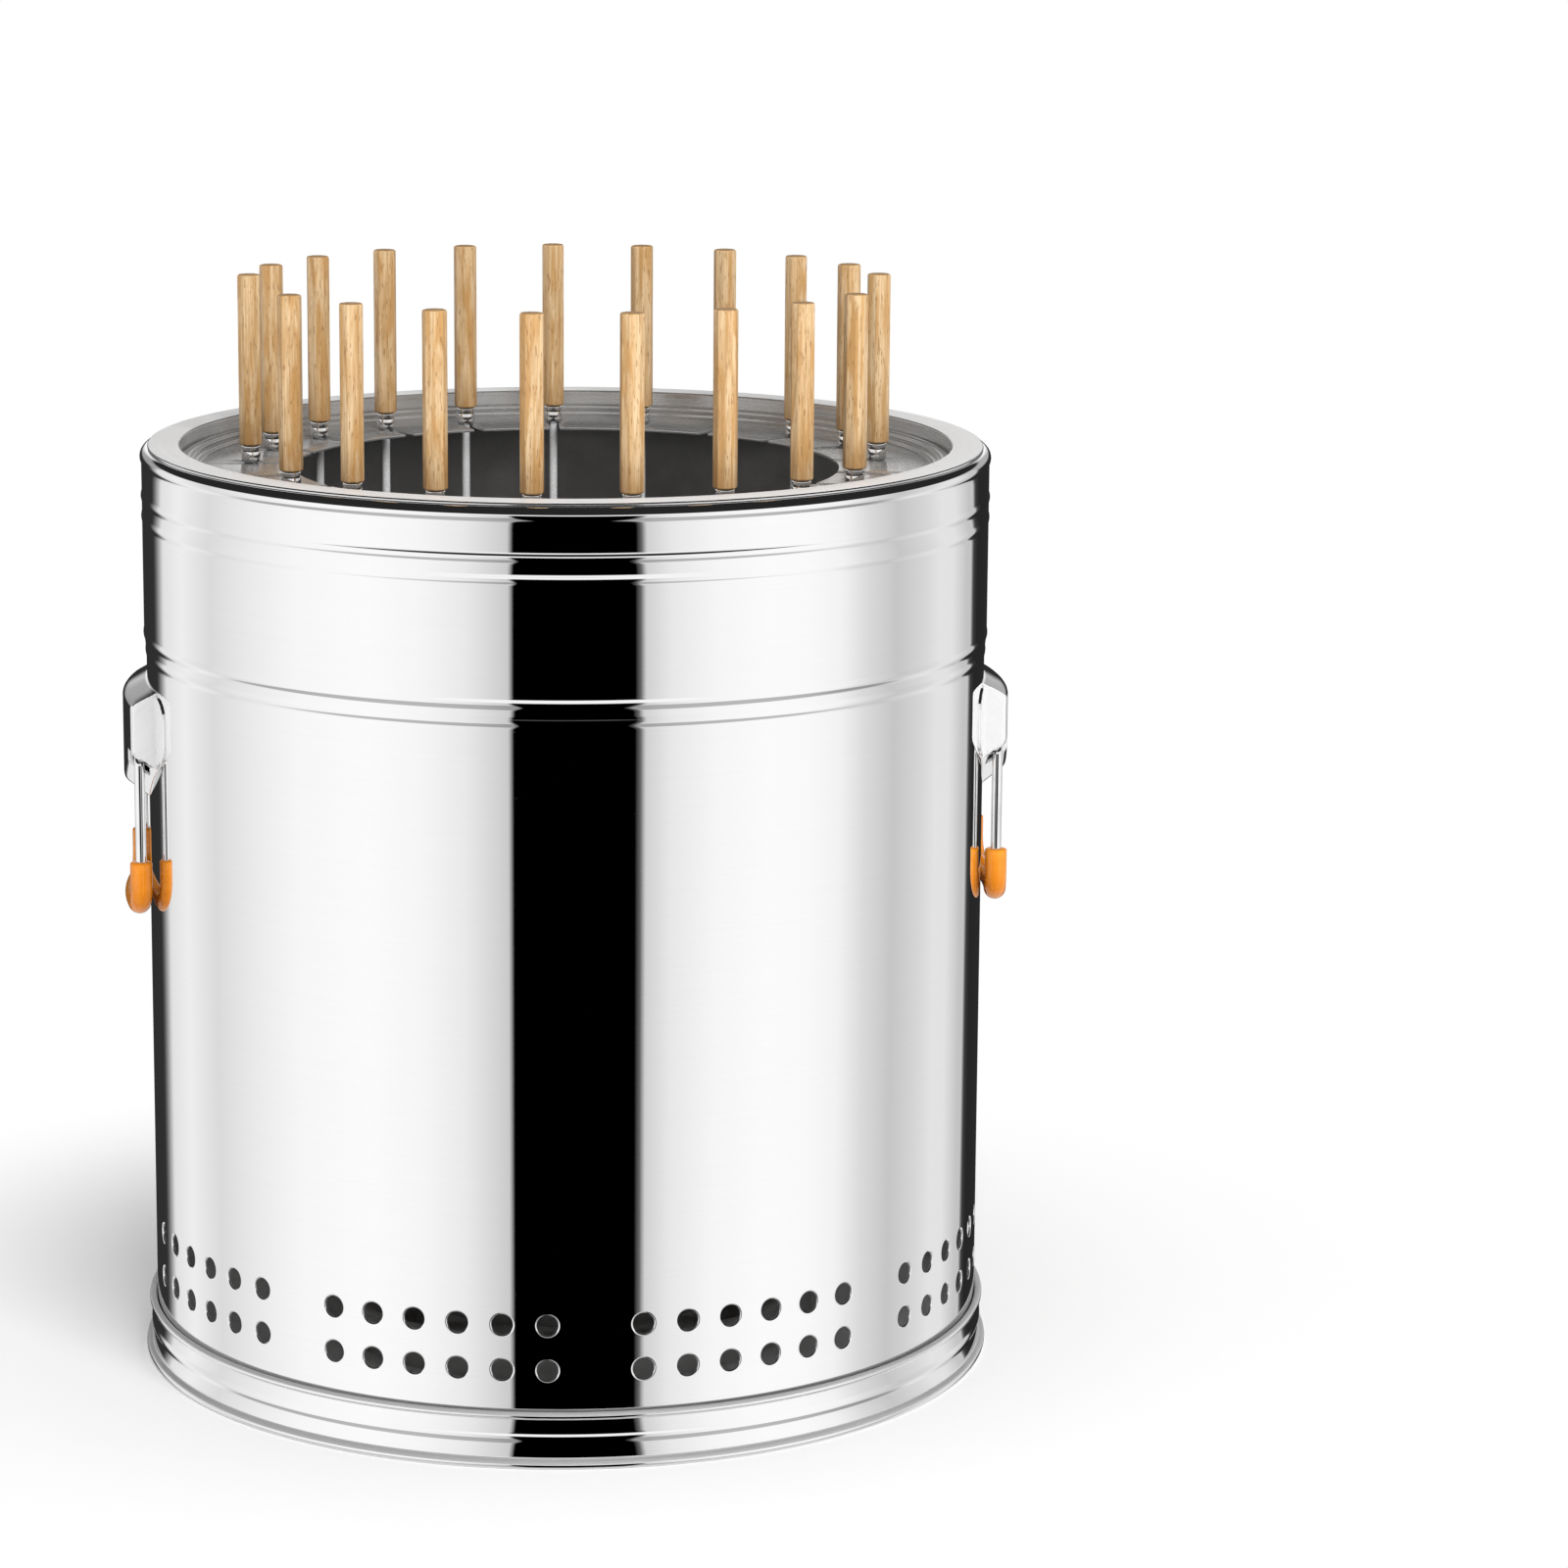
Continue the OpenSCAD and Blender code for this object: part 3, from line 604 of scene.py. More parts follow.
def swept(route, rings, sides=28, closed=False):
    """Points and faces of a round bar along a route. Each ring is (index in the route, shift along it, radius)."""
    tangents = []
    for i in range(len(route)):
        a, b = Vector(route[max(i - 1, 0)]), Vector(route[min(i + 1, len(route) - 1)])
        tangents.append((b - a).normalized())
    normal = tangents[0].orthogonal().normalized()
    normals = [normal]
    for i in range(1, len(route)):
        normal = (normal - tangents[i] * normal.dot(tangents[i])).normalized()
        normals.append(normal)
    points = []
    for index, shift, radius in rings:
        along, out = tangents[index], normals[index]
        side = along.cross(out)
        middle = Vector(route[index]) + along * shift
        for k in range(sides):
            t = 2 * math.pi * k / sides
            points.append(tuple(middle + (out * math.cos(t) + side * math.sin(t)) * radius))
    faces = strips(len(rings), sides, closed)
    if not closed:
        faces.append(list(range(sides))[::-1])
        faces.append(list(range((len(rings) - 1) * sides, len(rings) * sides)))
    return points, faces


# Barrel


def wall_turns():
    """The wall's turns around the axis: each group of vents has even columns, with plain wall between the groups."""
    turns, columns = [], []
    half = VENT_COLUMNS / 2 * VENT_COLUMN_TURN
    for group in range(VENT_GROUPS):
        middle = VENT_TURN - 90 + (group - (VENT_GROUPS - 1) / 2) * VENT_GROUP_TURN
        spare = VENT_GROUP_TURN / 2 - half
        turns += [middle - half - spare + spare * k / VENT_GAP_CELLS for k in range(VENT_GAP_CELLS)]
        for column in range(VENT_COLUMNS):
            columns.append(len(turns))
            start = middle - half + column * VENT_COLUMN_TURN
            turns += [start + VENT_COLUMN_TURN * k / VENT_SIDE_CELLS for k in range(VENT_SIDE_CELLS)]
        turns += [middle + half + spare * k / VENT_GAP_CELLS for k in range(VENT_GAP_CELLS)]
    plain = 360 - VENT_GROUPS * VENT_GROUP_TURN
    turns += [middle + VENT_GROUP_TURN / 2 + plain * k / PLAIN_WALL_CELLS for k in range(PLAIN_WALL_CELLS)]
    return turns, columns


def vent_cells(turns, columns):
    """The two rows of the wall that hold the vents: outer and inner sheet, and each vent's drawn-in edge."""
    points, faces = [], []
    cells = VENT_SIDE_CELLS
    levels = []
    for row in VENT_ROWS:
        levels += [row - VENT_ROW_GAP / 2 + VENT_ROW_GAP * k / cells for k in range(cells)]
    levels.append(VENT_ROWS[-1] + VENT_ROW_GAP / 2)

    def at(turn, r, z):
        t = math.radians(turn)
        points.append((r * math.cos(t), r * math.sin(t), z))
        return len(points) - 1

    grid = {r: [[at(turn, r, z) for z in levels] for turn in turns] for r in (WALL_R, WALL_R - WALL_T)}
    vented = {c + k for c in columns for k in range(cells)}
    for r, net in grid.items():
        for i in range(len(turns)):
            if i in vented:
                continue
            there = (i + 1) % len(turns)
            for j in range(len(levels) - 1):
                faces.append([net[i][j], net[there][j], net[there][j + 1], net[i][j + 1]])
    rings = [(size, 0) for size in VENT_OUTER_RINGS]
    for t in VENT_DRAW_STEPS:
        rings.append((VENT_R + VENT_DRAW * (1 - math.sin(t)), VENT_DRAW_DEPTH * (1 - math.cos(t))))
    rings += [(size, WALL_T) for size in (VENT_R,) + VENT_INNER_RINGS]
    for c in columns:
        middle = turns[c] + VENT_COLUMN_TURN / 2
        for row, z_middle in enumerate(VENT_ROWS):
            j = row * cells
            around = [(c + k, j) for k in range(cells)]
            around += [(c + cells, j + k) for k in range(cells)]
            around += [(c + cells - k, j + cells) for k in range(cells)]
            around += [(c, j + cells - k) for k in range(cells)]
            loops = [[grid[WALL_R][a % len(turns)][b] for a, b in around]]
            for size, depth in rings:
                loop = []
                r = WALL_R - depth
                for a, b in around:
                    offset = (turns[c] + (a - c) * VENT_COLUMN_TURN / cells - middle) / 180 * math.pi * WALL_R
                    spoke = math.atan2(levels[b] - z_middle, offset)
                    turn = middle + math.degrees(math.asin(size * math.cos(spoke) / r))
                    loop.append(at(turn, r, z_middle + size * math.sin(spoke)))
                loops.append(loop)
            loops.append([grid[WALL_R - WALL_T][a % len(turns)][b] for a, b in around])
            for first, second in zip(loops, loops[1:]):
                for k in range(len(around)):
                    n = (k + 1) % len(around)
                    faces.append([first[k], first[n], second[n], second[k]])
    return points, faces, levels[0], levels[-1]


def barrel_wall():
    """The wall: vents low down, a beaded step, two thin beads and a rolled rim."""
    turns, columns = wall_turns()
    points, faces, vents_low, vents_high = vent_cells(turns, columns)
    inner_r, upper_inner_r = WALL_R - WALL_T, UPPER_R - WALL_T
    foot = [(inner_r, vents_low), (inner_r, WALL_LOW), (WALL_R, WALL_LOW), (WALL_R, vents_low)]
    outside = [(WALL_R, vents_high), (WALL_R, WALL_MIDDLE)] + beaded_step()
    for z in THIN_BEADS:
        outside += bead(UPPER_R, z)
    outside += [(UPPER_R, NECK_LOW), (UPPER_R, NECK_HIGH)]
    rim = arc(RIM_ROLL_R, RIM_TOP - RIM_ROLL, RIM_ROLL, RIM_ROLL_START, 90, 26)
    rim += arc(MOUTH_R + MOUTH_EDGE, RIM_TOP - MOUTH_EDGE, MOUTH_EDGE, 90, 180, 6)[1:]
    rim += arc(MOUTH_R + MOUTH_LIP, MOUTH_LIP_Z, MOUTH_LIP, 180, 270, 6)
    inside = [(upper_inner_r, RIM_UNDER), (upper_inner_r, STEP_Z + 1), (inner_r, STEP_Z - 0.4)]
    inside += [(inner_r, WALL_MIDDLE), (inner_r, vents_high)]
    for section in (foot, outside + rim + inside):
        more_points, more_faces = turned(section, turns, closed=False, base=len(points))
        points += more_points
        faces += more_faces

    def side(middle, normal):
        inward = middle.x * normal.x + middle.y * normal.y < 0 and middle.z < RIM_TOP - RIM_ROLL
        drawn_in = WALL_R - VENT_DRAW_DEPTH - 0.02
        clear_of_vents = middle.z > vents_high or math.hypot(middle.x, middle.y) < drawn_in
        return 1 if inward and clear_of_vents else 0

    def round_normal(point, face_normal):
        out = Vector((point.x, point.y, 0))
        plain = abs(out.length - WALL_R) < 0.005 and point.z < STEP_BEADS[0] - 3.5
        return out.normalized() if plain and out.normalized().dot(face_normal) > 0.99 else Vector((0, 0, 0))

    make_piece(
        "barrel_sheet", points, faces, [BARREL_POLISH, INSIDE_SHADE_AND_SOOT], "barrel", ["barrel_wall"],
        finish_of=side, normal_of=round_normal,
    )


def base_ring():
    """The skirt around the barrel's foot: a rolled upper edge, a thin bead, a flared foot and the shelf inside."""
    section = [(FOOT_IN_R, 0)] + arc(FOOT_R, FOOT_ROLL, FOOT_ROLL, -90, 90, 10)
    section += arc(FOOT_NECK_R, FOOT_NECK_Z, FOOT_NECK, 270, 180, 5)
    section += bead(SKIRT_R, SKIRT_BEAD)
    section += arc(SKIRT_EDGE_R, SKIRT_EDGE_Z, SKIRT_EDGE_ROLL, -60, 180, 18)
    section += [(SKIRT_EDGE_R - SKIRT_EDGE_ROLL, 24.0), (SKIRT_IN_R, 22.4)]
    section += [(SKIRT_IN_R, SHELF_HIGH), (SHELF_R, SHELF_HIGH), (SHELF_R, SHELF_LOW), (SKIRT_IN_R, SHELF_LOW)]
    section += [(SKIRT_IN_R, FOOT_ROLL), (FOOT_IN_R, FOOT_ROLL)]
    points, faces = turned(section, even_turns(RING_CELLS))
    make_piece(
        "base_skirt", points, faces, [BARREL_POLISH, SKIRT_SATIN], "barrel", ["base_ring"],
        finish_of=lambda middle, normal: 1 if abs(normal.z) > 0.32 else 0,
    )


# Side handles


def soft_least(first, second, reach):
    """The smaller of two heights, rounded where they meet."""
    share = max(reach - abs(first - second), 0) / reach
    return min(first, second) - share * share * reach / 4


def corner_plane():
    """The plane that cuts a bracket's lower corner: a point on it and its normal."""
    foot = Vector((math.sqrt(WALL_R**2 - BRACKET_FOOT_Y**2), BRACKET_FOOT_Y, CORNER_FOOT_Z))
    low = Vector((math.sqrt(WALL_R**2 - CORNER_Y**2), CORNER_Y, BRACKET_LOW))
    face = Vector((math.sqrt((WALL_R + BRACKET_OUT) ** 2 - BRACKET_FACE_Y**2), BRACKET_FACE_Y, CORNER_FACE_Z))
    return foot, (face - foot).cross(low - foot)


CORNER_POINT, CORNER_NORMAL = corner_plane()


def bracket_end(inset):
    """How far a bracket stands off the wall close to its end: a steep side with a rounded edge."""
    slope = BRACKET_FOOT_Y - BRACKET_FACE_Y
    start = slope + 0.92 * BRACKET_END_ROUND
    short = start - inset
    steep = BRACKET_OUT * inset / slope
    if short <= 0:
        return steep
    if short >= BRACKET_END_ROUND:
        return min(steep, BRACKET_OUT - BRACKET_END_ROUND)
    return min(steep, BRACKET_OUT - BRACKET_END_ROUND + math.sqrt(BRACKET_END_ROUND**2 - short**2))


def bracket_body(y, z):
    """How far a bracket stands off the wall: its face, bevels and cut corners, rounded as pressed sheet is."""
    top = BRACKET_OUT * (BRACKET_HIGH - z) / BRACKET_TOP_BEVEL
    low = BRACKET_OUT * (z - BRACKET_LOW) / BRACKET_LOW_BEVEL
    slope = CORNER_NORMAL.y * (abs(y) - CORNER_POINT.y) + CORNER_NORMAL.z * (z - CORNER_POINT.z)
    corner = math.hypot(CORNER_POINT.x - slope / CORNER_NORMAL.x, y) - WALL_R
    upper = soft_least(top, BRACKET_OUT, BRACKET_SOFT)
    height = soft_least(upper, soft_least(low, corner, BRACKET_SOFT), BRACKET_SOFT)
    return soft_least(height, bracket_end(BRACKET_FOOT_Y - abs(y)), BRACKET_END_SOFT)


def tab_inset(y, z):
    """How far a point lies inside the rounded outline of the tabs at a bracket's ends."""
    middle, half = (TAB_HIGH + TAB_LOW) / 2, (TAB_HIGH - TAB_LOW) / 2
    across = abs(y) - TAB_Y + TAB_ROUND
    up = abs(z - middle) - half + TAB_ROUND
    return TAB_ROUND - math.hypot(max(across, 0), max(up, 0)) - min(max(across, up), 0)


def opening_gap(y, z, height):
    """Distance from the notch that a leg hangs in, rounded at its back; less than zero inside it."""
    across = abs(abs(y) - LEG_Y) - NOTCH_HALF
    back = LEG_X - math.sqrt((WALL_R + height) ** 2 - y * y)
    up = z - NOTCH_TOP + NOTCH_BACK_R
    profile = math.hypot(max(back, 0), max(up, 0)) + min(max(back, up), 0) - NOTCH_BACK_R
    return math.hypot(max(across, 0), max(profile, 0)) + min(max(across, profile), 0)


def bracket_sheet(y, z):
    """A bracket's height off the wall, and a level that is below zero where there is no sheet."""
    body, inset = bracket_body(y, z), tab_inset(y, z)
    ease = min(max(inset, 0), TAB_EASE) - TAB_EASE
    tab = TAB_T - TAB_EASE + math.sqrt(TAB_EASE**2 - ease * ease) + 4 * min(inset, 0)
    height = -soft_least(-body, -tab, TAB_SOFT)
    gap = opening_gap(y, z, height)
    if gap < NOTCH_LIP:
        height -= NOTCH_LIP - math.sqrt(max(NOTCH_LIP**2 - (NOTCH_LIP - max(gap, 0)) ** 2, 0))
    return max(height, 0.2), min(max(body - 0.3, inset), gap)


def sheet_cells(columns, rows, level_of):
    """Cells of a grid, each a loop of (y, z), trimmed along the line where the level passes zero."""
    level = {(y, z): level_of(y, z) for y in columns for z in rows}
    cells = []
    for y0, y1 in zip(columns, columns[1:]):
        for z0, z1 in zip(rows, rows[1:]):
            loop = [(y0, z0), (y1, z0), (y1, z1), (y0, z1)]
            cell = []
            for a, b in zip(loop, loop[1:] + loop[:1]):
                if level[a] >= 0:
                    cell.append(a)
                if (level[a] >= 0) != (level[b] >= 0):
                    first, second = sorted((a, b))
                    share = level[first] / (level[first] - level[second])
                    cell.append(tuple(start + (end - start) * share for start, end in zip(first, second)))
            if len(cell) > 2:
                cells.append(cell)
    return cells


def bracket(side):
    """A pressed bracket: tabs on the wall, cut lower corners, and the notches that the bail's legs hang in."""
    half = [start + step * k for start, step, count in BRACKET_COLUMNS for k in range(count)] + TAB_END_COLUMNS
    columns = [-y for y in reversed(half[1:])] + half
    rows = [BRACKET_LOW + (BRACKET_HIGH - BRACKET_LOW) * k / BRACKET_ROWS for k in range(BRACKET_ROWS + 1)]
    points, index = [], {}

    def at(place_at):
        key = (round(place_at[0], 5), round(place_at[1], 5))
        if key not in index:
            y, z = place_at
            height = bracket_sheet(y, z)[0]
            index[key] = len(points)
            for r in (WALL_R + height, WALL_R + max(height - BRACKET_SHEET, 0.02)):
                points.append((side * math.sqrt(r * r - y * y), y, z))
        return index[key]

    faces, rims = [], {}
    for cell in sheet_cells(columns, rows, lambda y, z: bracket_sheet(y, z)[1]):
        loop = [at(corner) for corner in cell]
        faces.append(loop)
        faces.append([n + 1 for n in reversed(loop)])
        for first, second in zip(loop, loop[1:] + loop[:1]):
            key = (min(first, second), max(first, second))
            rims[key] = rims.get(key, 0) + 1
    faces += [[a, b, b + 1, a + 1] for (a, b), count in rims.items() if count == 1 and a != b]
    word = "right" if side > 0 else "left"
    make_piece(
        word + "_bracket_pressing", points, faces, [BRACKET_POLISH, BRACKET_SATIN], "barrel", [word + "_bracket"],
        crease=50, finish_of=lambda middle, normal: 1 if abs(normal.y) > 0.85 else 0,
    )


def bail_route(side):
    """The middle line of a bail's wire, from one pivot pin down its leg, along the grip and up to the other pin."""
    half = []
    for k in range(9):
        t = math.radians(GRIP_TURN * k / 8)
        half.append((BAIL_R * math.cos(t), BAIL_R * math.sin(t), GRIP_Z))
    t = math.radians(GRIP_TURN)
    end = Vector(half[-1])
    along = Vector((-math.sin(t), math.cos(t), 0))
    for k in range(1, 13):
        a = math.radians(90 * k / 12)
        half.append(tuple(end + along * GRIP_BEND * math.sin(a) + Vector((0, 0, GRIP_BEND * (1 - math.cos(a))))))
    half.append((LEG_X, LEG_Y, GRIP_Z + SLEEVE_RISE))
    half.append((LEG_X, LEG_Y, GRIP_Z + 40))
    for k in range(9):
        a = math.radians(90 * k / 8)
        half.append((LEG_X, LEG_Y - PIN_BEND * (1 - math.cos(a)), PIVOT_Z - PIN_BEND + PIN_BEND * math.sin(a)))
    half.append((LEG_X, LEG_Y - PIN_BEND - PIN_L, PIVOT_Z))
    whole = [(x, -y, z) for x, y, z in reversed(half[1:])] + half
    return [(side * x, y, z) for x, y, z in whole]


def bail(side):
    """A bail: bent wire with an orange sleeve around its grip."""
    word = "right" if side > 0 else "left"
    route = bail_route(side)
    last = len(route) - 1
    rings = [(0, shift, WIRE_R - inset) for shift, inset in WIRE_END]
    rings += [(i, 0, WIRE_R) for i in range(1, last)]
    rings += [(last, -shift, WIRE_R - inset) for shift, inset in reversed(WIRE_END)]
    points, faces = swept(route, rings)
    body = word + "_handle"
    make_piece(word + "_bail_wire", points, faces, [WIRE_BRIGHT], body, [word + "_bail"])
    ends = [i for i, p in enumerate(route) if abs(p[2] - GRIP_Z - SLEEVE_RISE) < 1e-6]
    first, final = ends[0], ends[-1]
    rings = [(first, shift, SLEEVE_R - inset) for shift, inset in SLEEVE_LIP]
    rings += [(i, 0, SLEEVE_R) for i in range(first + 1, final)]
    rings += [(final, -shift, SLEEVE_R - inset) for shift, inset in reversed(SLEEVE_LIP)]
    bore = WIRE_R + SLEEVE_GAP
    rings += [(final, 0, bore)] + [(i, 0, bore) for i in range(final - 1, first, -1)] + [(first, 0, bore)]
    points, faces = swept(route, rings, sides=36, closed=True)
    make_piece(word + "_grip_sleeve", points, faces, [GRIP_ORANGE], body, [word + "_sleeve"])


# Skewer ring


def ring_collar():
    """The collar: a flange on the rim, a lip in the barrel's mouth, the wall of the well and a seat for the plate."""
    low = RING_TOP - COLLAR_T
    seat = PLATE_EDGE_Z - PLATE_T
    well_back = WELL_R + COLLAR_T
    section = filleted([
        (RING_R, low, 0.5), (RING_R, RING_TOP, 0.75), (WELL_R, RING_TOP, 1.0), (WELL_R, seat, 0.4),
        (SEAT_R, seat, 0.4), (SEAT_R, seat - COLLAR_T, 0.4), (well_back, seat - COLLAR_T, 1.2), (well_back, low, 0.6),
        (LIP_IN_R, low, 0.5), (LIP_IN_R, LIP_LOW, 0.5), (LIP_R, LIP_LOW, 0.5), (LIP_R, low, 0.2),
    ])
    points, faces = turned(section, even_turns(RING_CELLS))

    def side(middle, normal):
        if normal.z > 0.9 and middle.z > RING_TOP - 0.3:
            return 0
        return 1 if math.hypot(middle.x, middle.y) > RING_R - 2 else 2

    make_piece(
        "ring_flange", points, faces, [RING_SATIN, RING_POLISH, PLATE_STEEL], "skewer_ring", ["ring_collar"],
        finish_of=side,
    )


def slot_edge():
    """The plate's inner edge, around the opening and into each slot: each point with its way into the sheet."""
    edge = []
    mouth = math.degrees(math.asin(SLOT_HALF / OPENING_R))
    start_r = math.sqrt(OPENING_R**2 - SLOT_HALF**2)
    gap = 360 / SLOT_COUNT
    sides = [start_r + (HANG_R - start_r) * share for share in SLOT_SIDE_SHARES]
    for k in range(SLOT_COUNT):
        turn = SLOT_TURN + k * 360 / SLOT_COUNT
        sector = [((start_r, -SLOT_HALF), (0.7, -0.7))]
        sector += [((r, -SLOT_HALF), (0, -1)) for r in sides]
        for t in range(-75, 76, 15):
            way = turned_by((1, 0), t)
            sector.append(((HANG_R + SLOT_HALF * way[0], SLOT_HALF * way[1]), way))
        sector += [((r, SLOT_HALF), (0, 1)) for r in reversed(sides)]
        sector.append(((start_r, SLOT_HALF), (0.7, 0.7)))
        for n, (p, way) in enumerate(sector):
            rim_turn = turn - SLOT_SPREAD + 2 * SLOT_SPREAD * n / (len(sector) - 1)
            edge.append((turned_by(p, turn), turned_by(way, turn), rim_turn))
        for n in range(1, OPENING_CELLS):
            way = turned_by((1, 0), mouth + (gap - 2 * mouth) * n / OPENING_CELLS)
            p = (OPENING_R * way[0], OPENING_R * way[1])
            rim_turn = turn + SLOT_SPREAD + (gap - 2 * SLOT_SPREAD) * n / OPENING_CELLS
            edge.append((turned_by(p, turn), turned_by(way, turn), rim_turn))
    return edge


def skewer_plate():
    """The plate: two steps down from its edge, a round opening and the skewers' slots, all with eased edges."""
    edge = slot_edge()
    low = PLATE_Z - PLATE_T
    rim = [t for _, _, t in edge]
    top = [turned_by((PLATE_FLAT_R, 0), t) + (PLATE_Z,) for t in rim]
    loops = [top]
    for depth, ease in PLATE_EASE:
        loops.append([(p[0] + way[0] * ease, p[1] + way[1] * ease, PLATE_Z - depth) for p, way, _ in edge])
    loops.append([(x, y, low) for x, y, _ in top])
    points = [point for loop in loops for point in loop]
    faces = strips(len(loops), len(edge))
    step_z = PLATE_EDGE_Z - PLATE_STEP
    outer_back, inner_back = OUTER_STEP_R + PLATE_T, INNER_STEP_R + PLATE_T
    section = filleted([
        (PLATE_FLAT_R, PLATE_Z, 0), (INNER_STEP_R, PLATE_Z, 0.9), (INNER_STEP_R, step_z, 0.9),
        (OUTER_STEP_R, step_z, 0.9), (OUTER_STEP_R, PLATE_EDGE_Z, 0.9), (PLATE_EDGE_R, PLATE_EDGE_Z, 0.5),
        (PLATE_EDGE_R, PLATE_EDGE_Z - PLATE_T, 0.4), (outer_back, PLATE_EDGE_Z - PLATE_T, 0.5),
        (outer_back, step_z - PLATE_T, 0.5), (inner_back, step_z - PLATE_T, 0.5), (inner_back, low, 0.5),
        (PLATE_FLAT_R, low, 0),
    ])
    more_points, more_faces = turned(section, rim, closed=False, base=len(points))
    make_piece(
        "skewer_seat_plate", points + more_points, faces + more_faces, [PLATE_STEEL], "skewer_ring", ["skewer_plate"],
    )


# Skewers


def skewer(number, turn):
    """A skewer: a pointed rod, a ferrule that rests on the plate and an eight-sided wooden handle."""
    body = "skewer_%02d" % number
    axis = turned_by((HANG_R, 0), turn)
    point = POINT_L - ROD_L
    section = [(0, -ROD_L), (0.25, -ROD_L + 0.6), (ROD_R - 0.25, point - 1.5), (ROD_R, point + 1)]
    section += [(ROD_R, -120), (ROD_R, -0.4), (ROD_R + 0.4, 0)]
    section += arc(FERRULE_R - FERRULE_ROUND, FERRULE_ROUND, FERRULE_ROUND, -90, 0, 8)
    section += [(FERRULE_R - depth, z) for z, depth in FERRULE_GROOVE]
    section += [(FERRULE_R - 0.3, FERRULE_H), (0, FERRULE_H)]
    section = [(r, PLATE_Z + z) for r, z in section]
    points, faces = turned(section, even_turns(32), closed=False, axis=axis)
    make_piece(
        body + "_steel", points, faces, [ROD_BRIGHT, WIRE_BRIGHT], body, [body + "_rod"],
        finish_of=lambda middle, normal: 1 if middle.z > PLATE_Z else 0,
    )

    corner_r = HANDLE_HALF / math.cos(math.radians(22.5))
    corners = [turned_by((corner_r, 0), 22.5 + 45 * k) + (HANDLE_EDGE,) for k in range(8)]
    outline = [turned_by(p, turn) for p in filleted(corners, steps=4)]
    rings = HANDLE_ENDS + HANDLE_LEVELS + [(HANDLE_L - z, inset) for z, inset in reversed(HANDLE_ENDS)]
    points = []
    for z, inset in rings:
        size = (HANDLE_HALF - inset) / HANDLE_HALF
        points += [(axis[0] + x * size, axis[1] + y * size, HANDLE_FOOT + z) for x, y in outline]
    count = len(outline)
    faces = strips(len(rings), count)
    faces.append(list(range(count))[::-1])
    faces.append(list(range(len(points) - count, len(points))))
    make_piece(body + "_wood", points, faces, [HANDLE_BEECH], body, [body + "_handle"], crease=30)


# Studio

CAMERA_LENS = 115.84
CAMERA_PLACE = (-0.16239, -2.37751, 0.77698)
CAMERA_ANGLES = (78.1155, -0.4813, -6.3229)


def studio_camera():
    """The camera at the photograph's angle."""
    data = bpy.data.cameras.new("studio_camera")
    data.sensor_width = 36
    data.lens = CAMERA_LENS
    data.clip_end = 100
    camera = bpy.data.objects.new("studio_camera", data)
    camera.location = CAMERA_PLACE
    camera.rotation_euler = [math.radians(a) for a in CAMERA_ANGLES]
    bpy.context.scene.collection.objects.link(camera)
    bpy.context.scene.camera = camera


# Brightness of the studio's walls as polished metal shows them, by the angle from the camera towards the right:
# a black flag at the camera, a large soft light at each side and the dark end of the room behind the barrel.
# The camera stands a few degrees to the left of the grill's front.
CAMERA_TURN = 4
STUDIO_LEFT = (
    (-144, 0.38), (-140.5, 0.78), (-127, 0.90), (-111, 0.74), (-93, 0.88), (-77, 0.98), (-55, 1.02), (-39, 0.97),
)
STUDIO_FLAG = ((-27, 0.86), (-15.3, 0.62), (-14.9, 0.0), (19.6, 0.0), (20.0, 0.64), (28, 0.85))
STUDIO_RIGHT = (
    (40, 0.97), (56, 1.02), (69, 1.0), (79, 0.94), (88.5, 0.74), (100, 0.59), (113, 0.71), (121, 0.81), (129, 0.80),
    (139.5, 0.57), (143.4, 0.57),
)
STUDIO_DARK_END = ((-180, 0.025), (-149.5, 0.03), (-147, 0.13)), ((145.3, 0.05), (150, 0.02), (180, 0.025))
STUDIO_WALLS = STUDIO_DARK_END[0] + STUDIO_LEFT + STUDIO_FLAG + STUDIO_RIGHT + STUDIO_DARK_END[1]
# The same above eye level: nothing over the flag, and a grey wall with a bright window at the back
STUDIO_GREY_END = (
    ((-180, 1.1), (-171, 1.0), (-165, 0.40), (-155, 0.32)),
    ((146, 0.42), (166, 0.44), (172, 1.0), (180, 1.1)),
)
STUDIO_UPPER_WALLS = STUDIO_GREY_END[0] + STUDIO_LEFT + STUDIO_RIGHT + STUDIO_GREY_END[1]
# Brightness of the ceiling, of the floor in front of the grill as a share of the walls, of the floor behind it,
# and of the soft light on surfaces that aren't mirrors
STUDIO_CEILING = 0.02
STUDIO_FLOOR_SHARE = 0.5
STUDIO_FLOOR_BEHIND = 0.85
STUDIO_SOFT_LIGHT = 0.64
# Where each part of the studio begins, by the height of a mirrored look, or by its turn for the floor behind
UPPER_WALLS_FROM = (0.0, 0.08)
CEILING_FROM = (0.22, 0.27)
FLOOR_FROM = (-0.46, -0.54)
BEHIND_FROM = (0.30, 0.34)
# The floor's rings, in millimetres, and where its shadow fades into white, in metres
FLOOR_RINGS = (0.001, 300, 900, 3000, 16000)
SHADOW_FADE = (0.235, 0.5)


def level_ramp(tree, share, stops):
    """A ramp of grey levels by a share of the full turn; each stop is (angle from -180 to 180, level)."""
    ramp = tree.nodes.new("ShaderNodeValToRGB")
    plug(tree, ramp.inputs[0], share)
    elements = ramp.color_ramp.elements
    while len(elements) < len(stops):
        elements.new(0.5)
    for element, (angle, level) in zip(elements, stops):
        element.position = (angle + 180) / 360
        element.color = grey(level)
    return ramp.outputs[0]


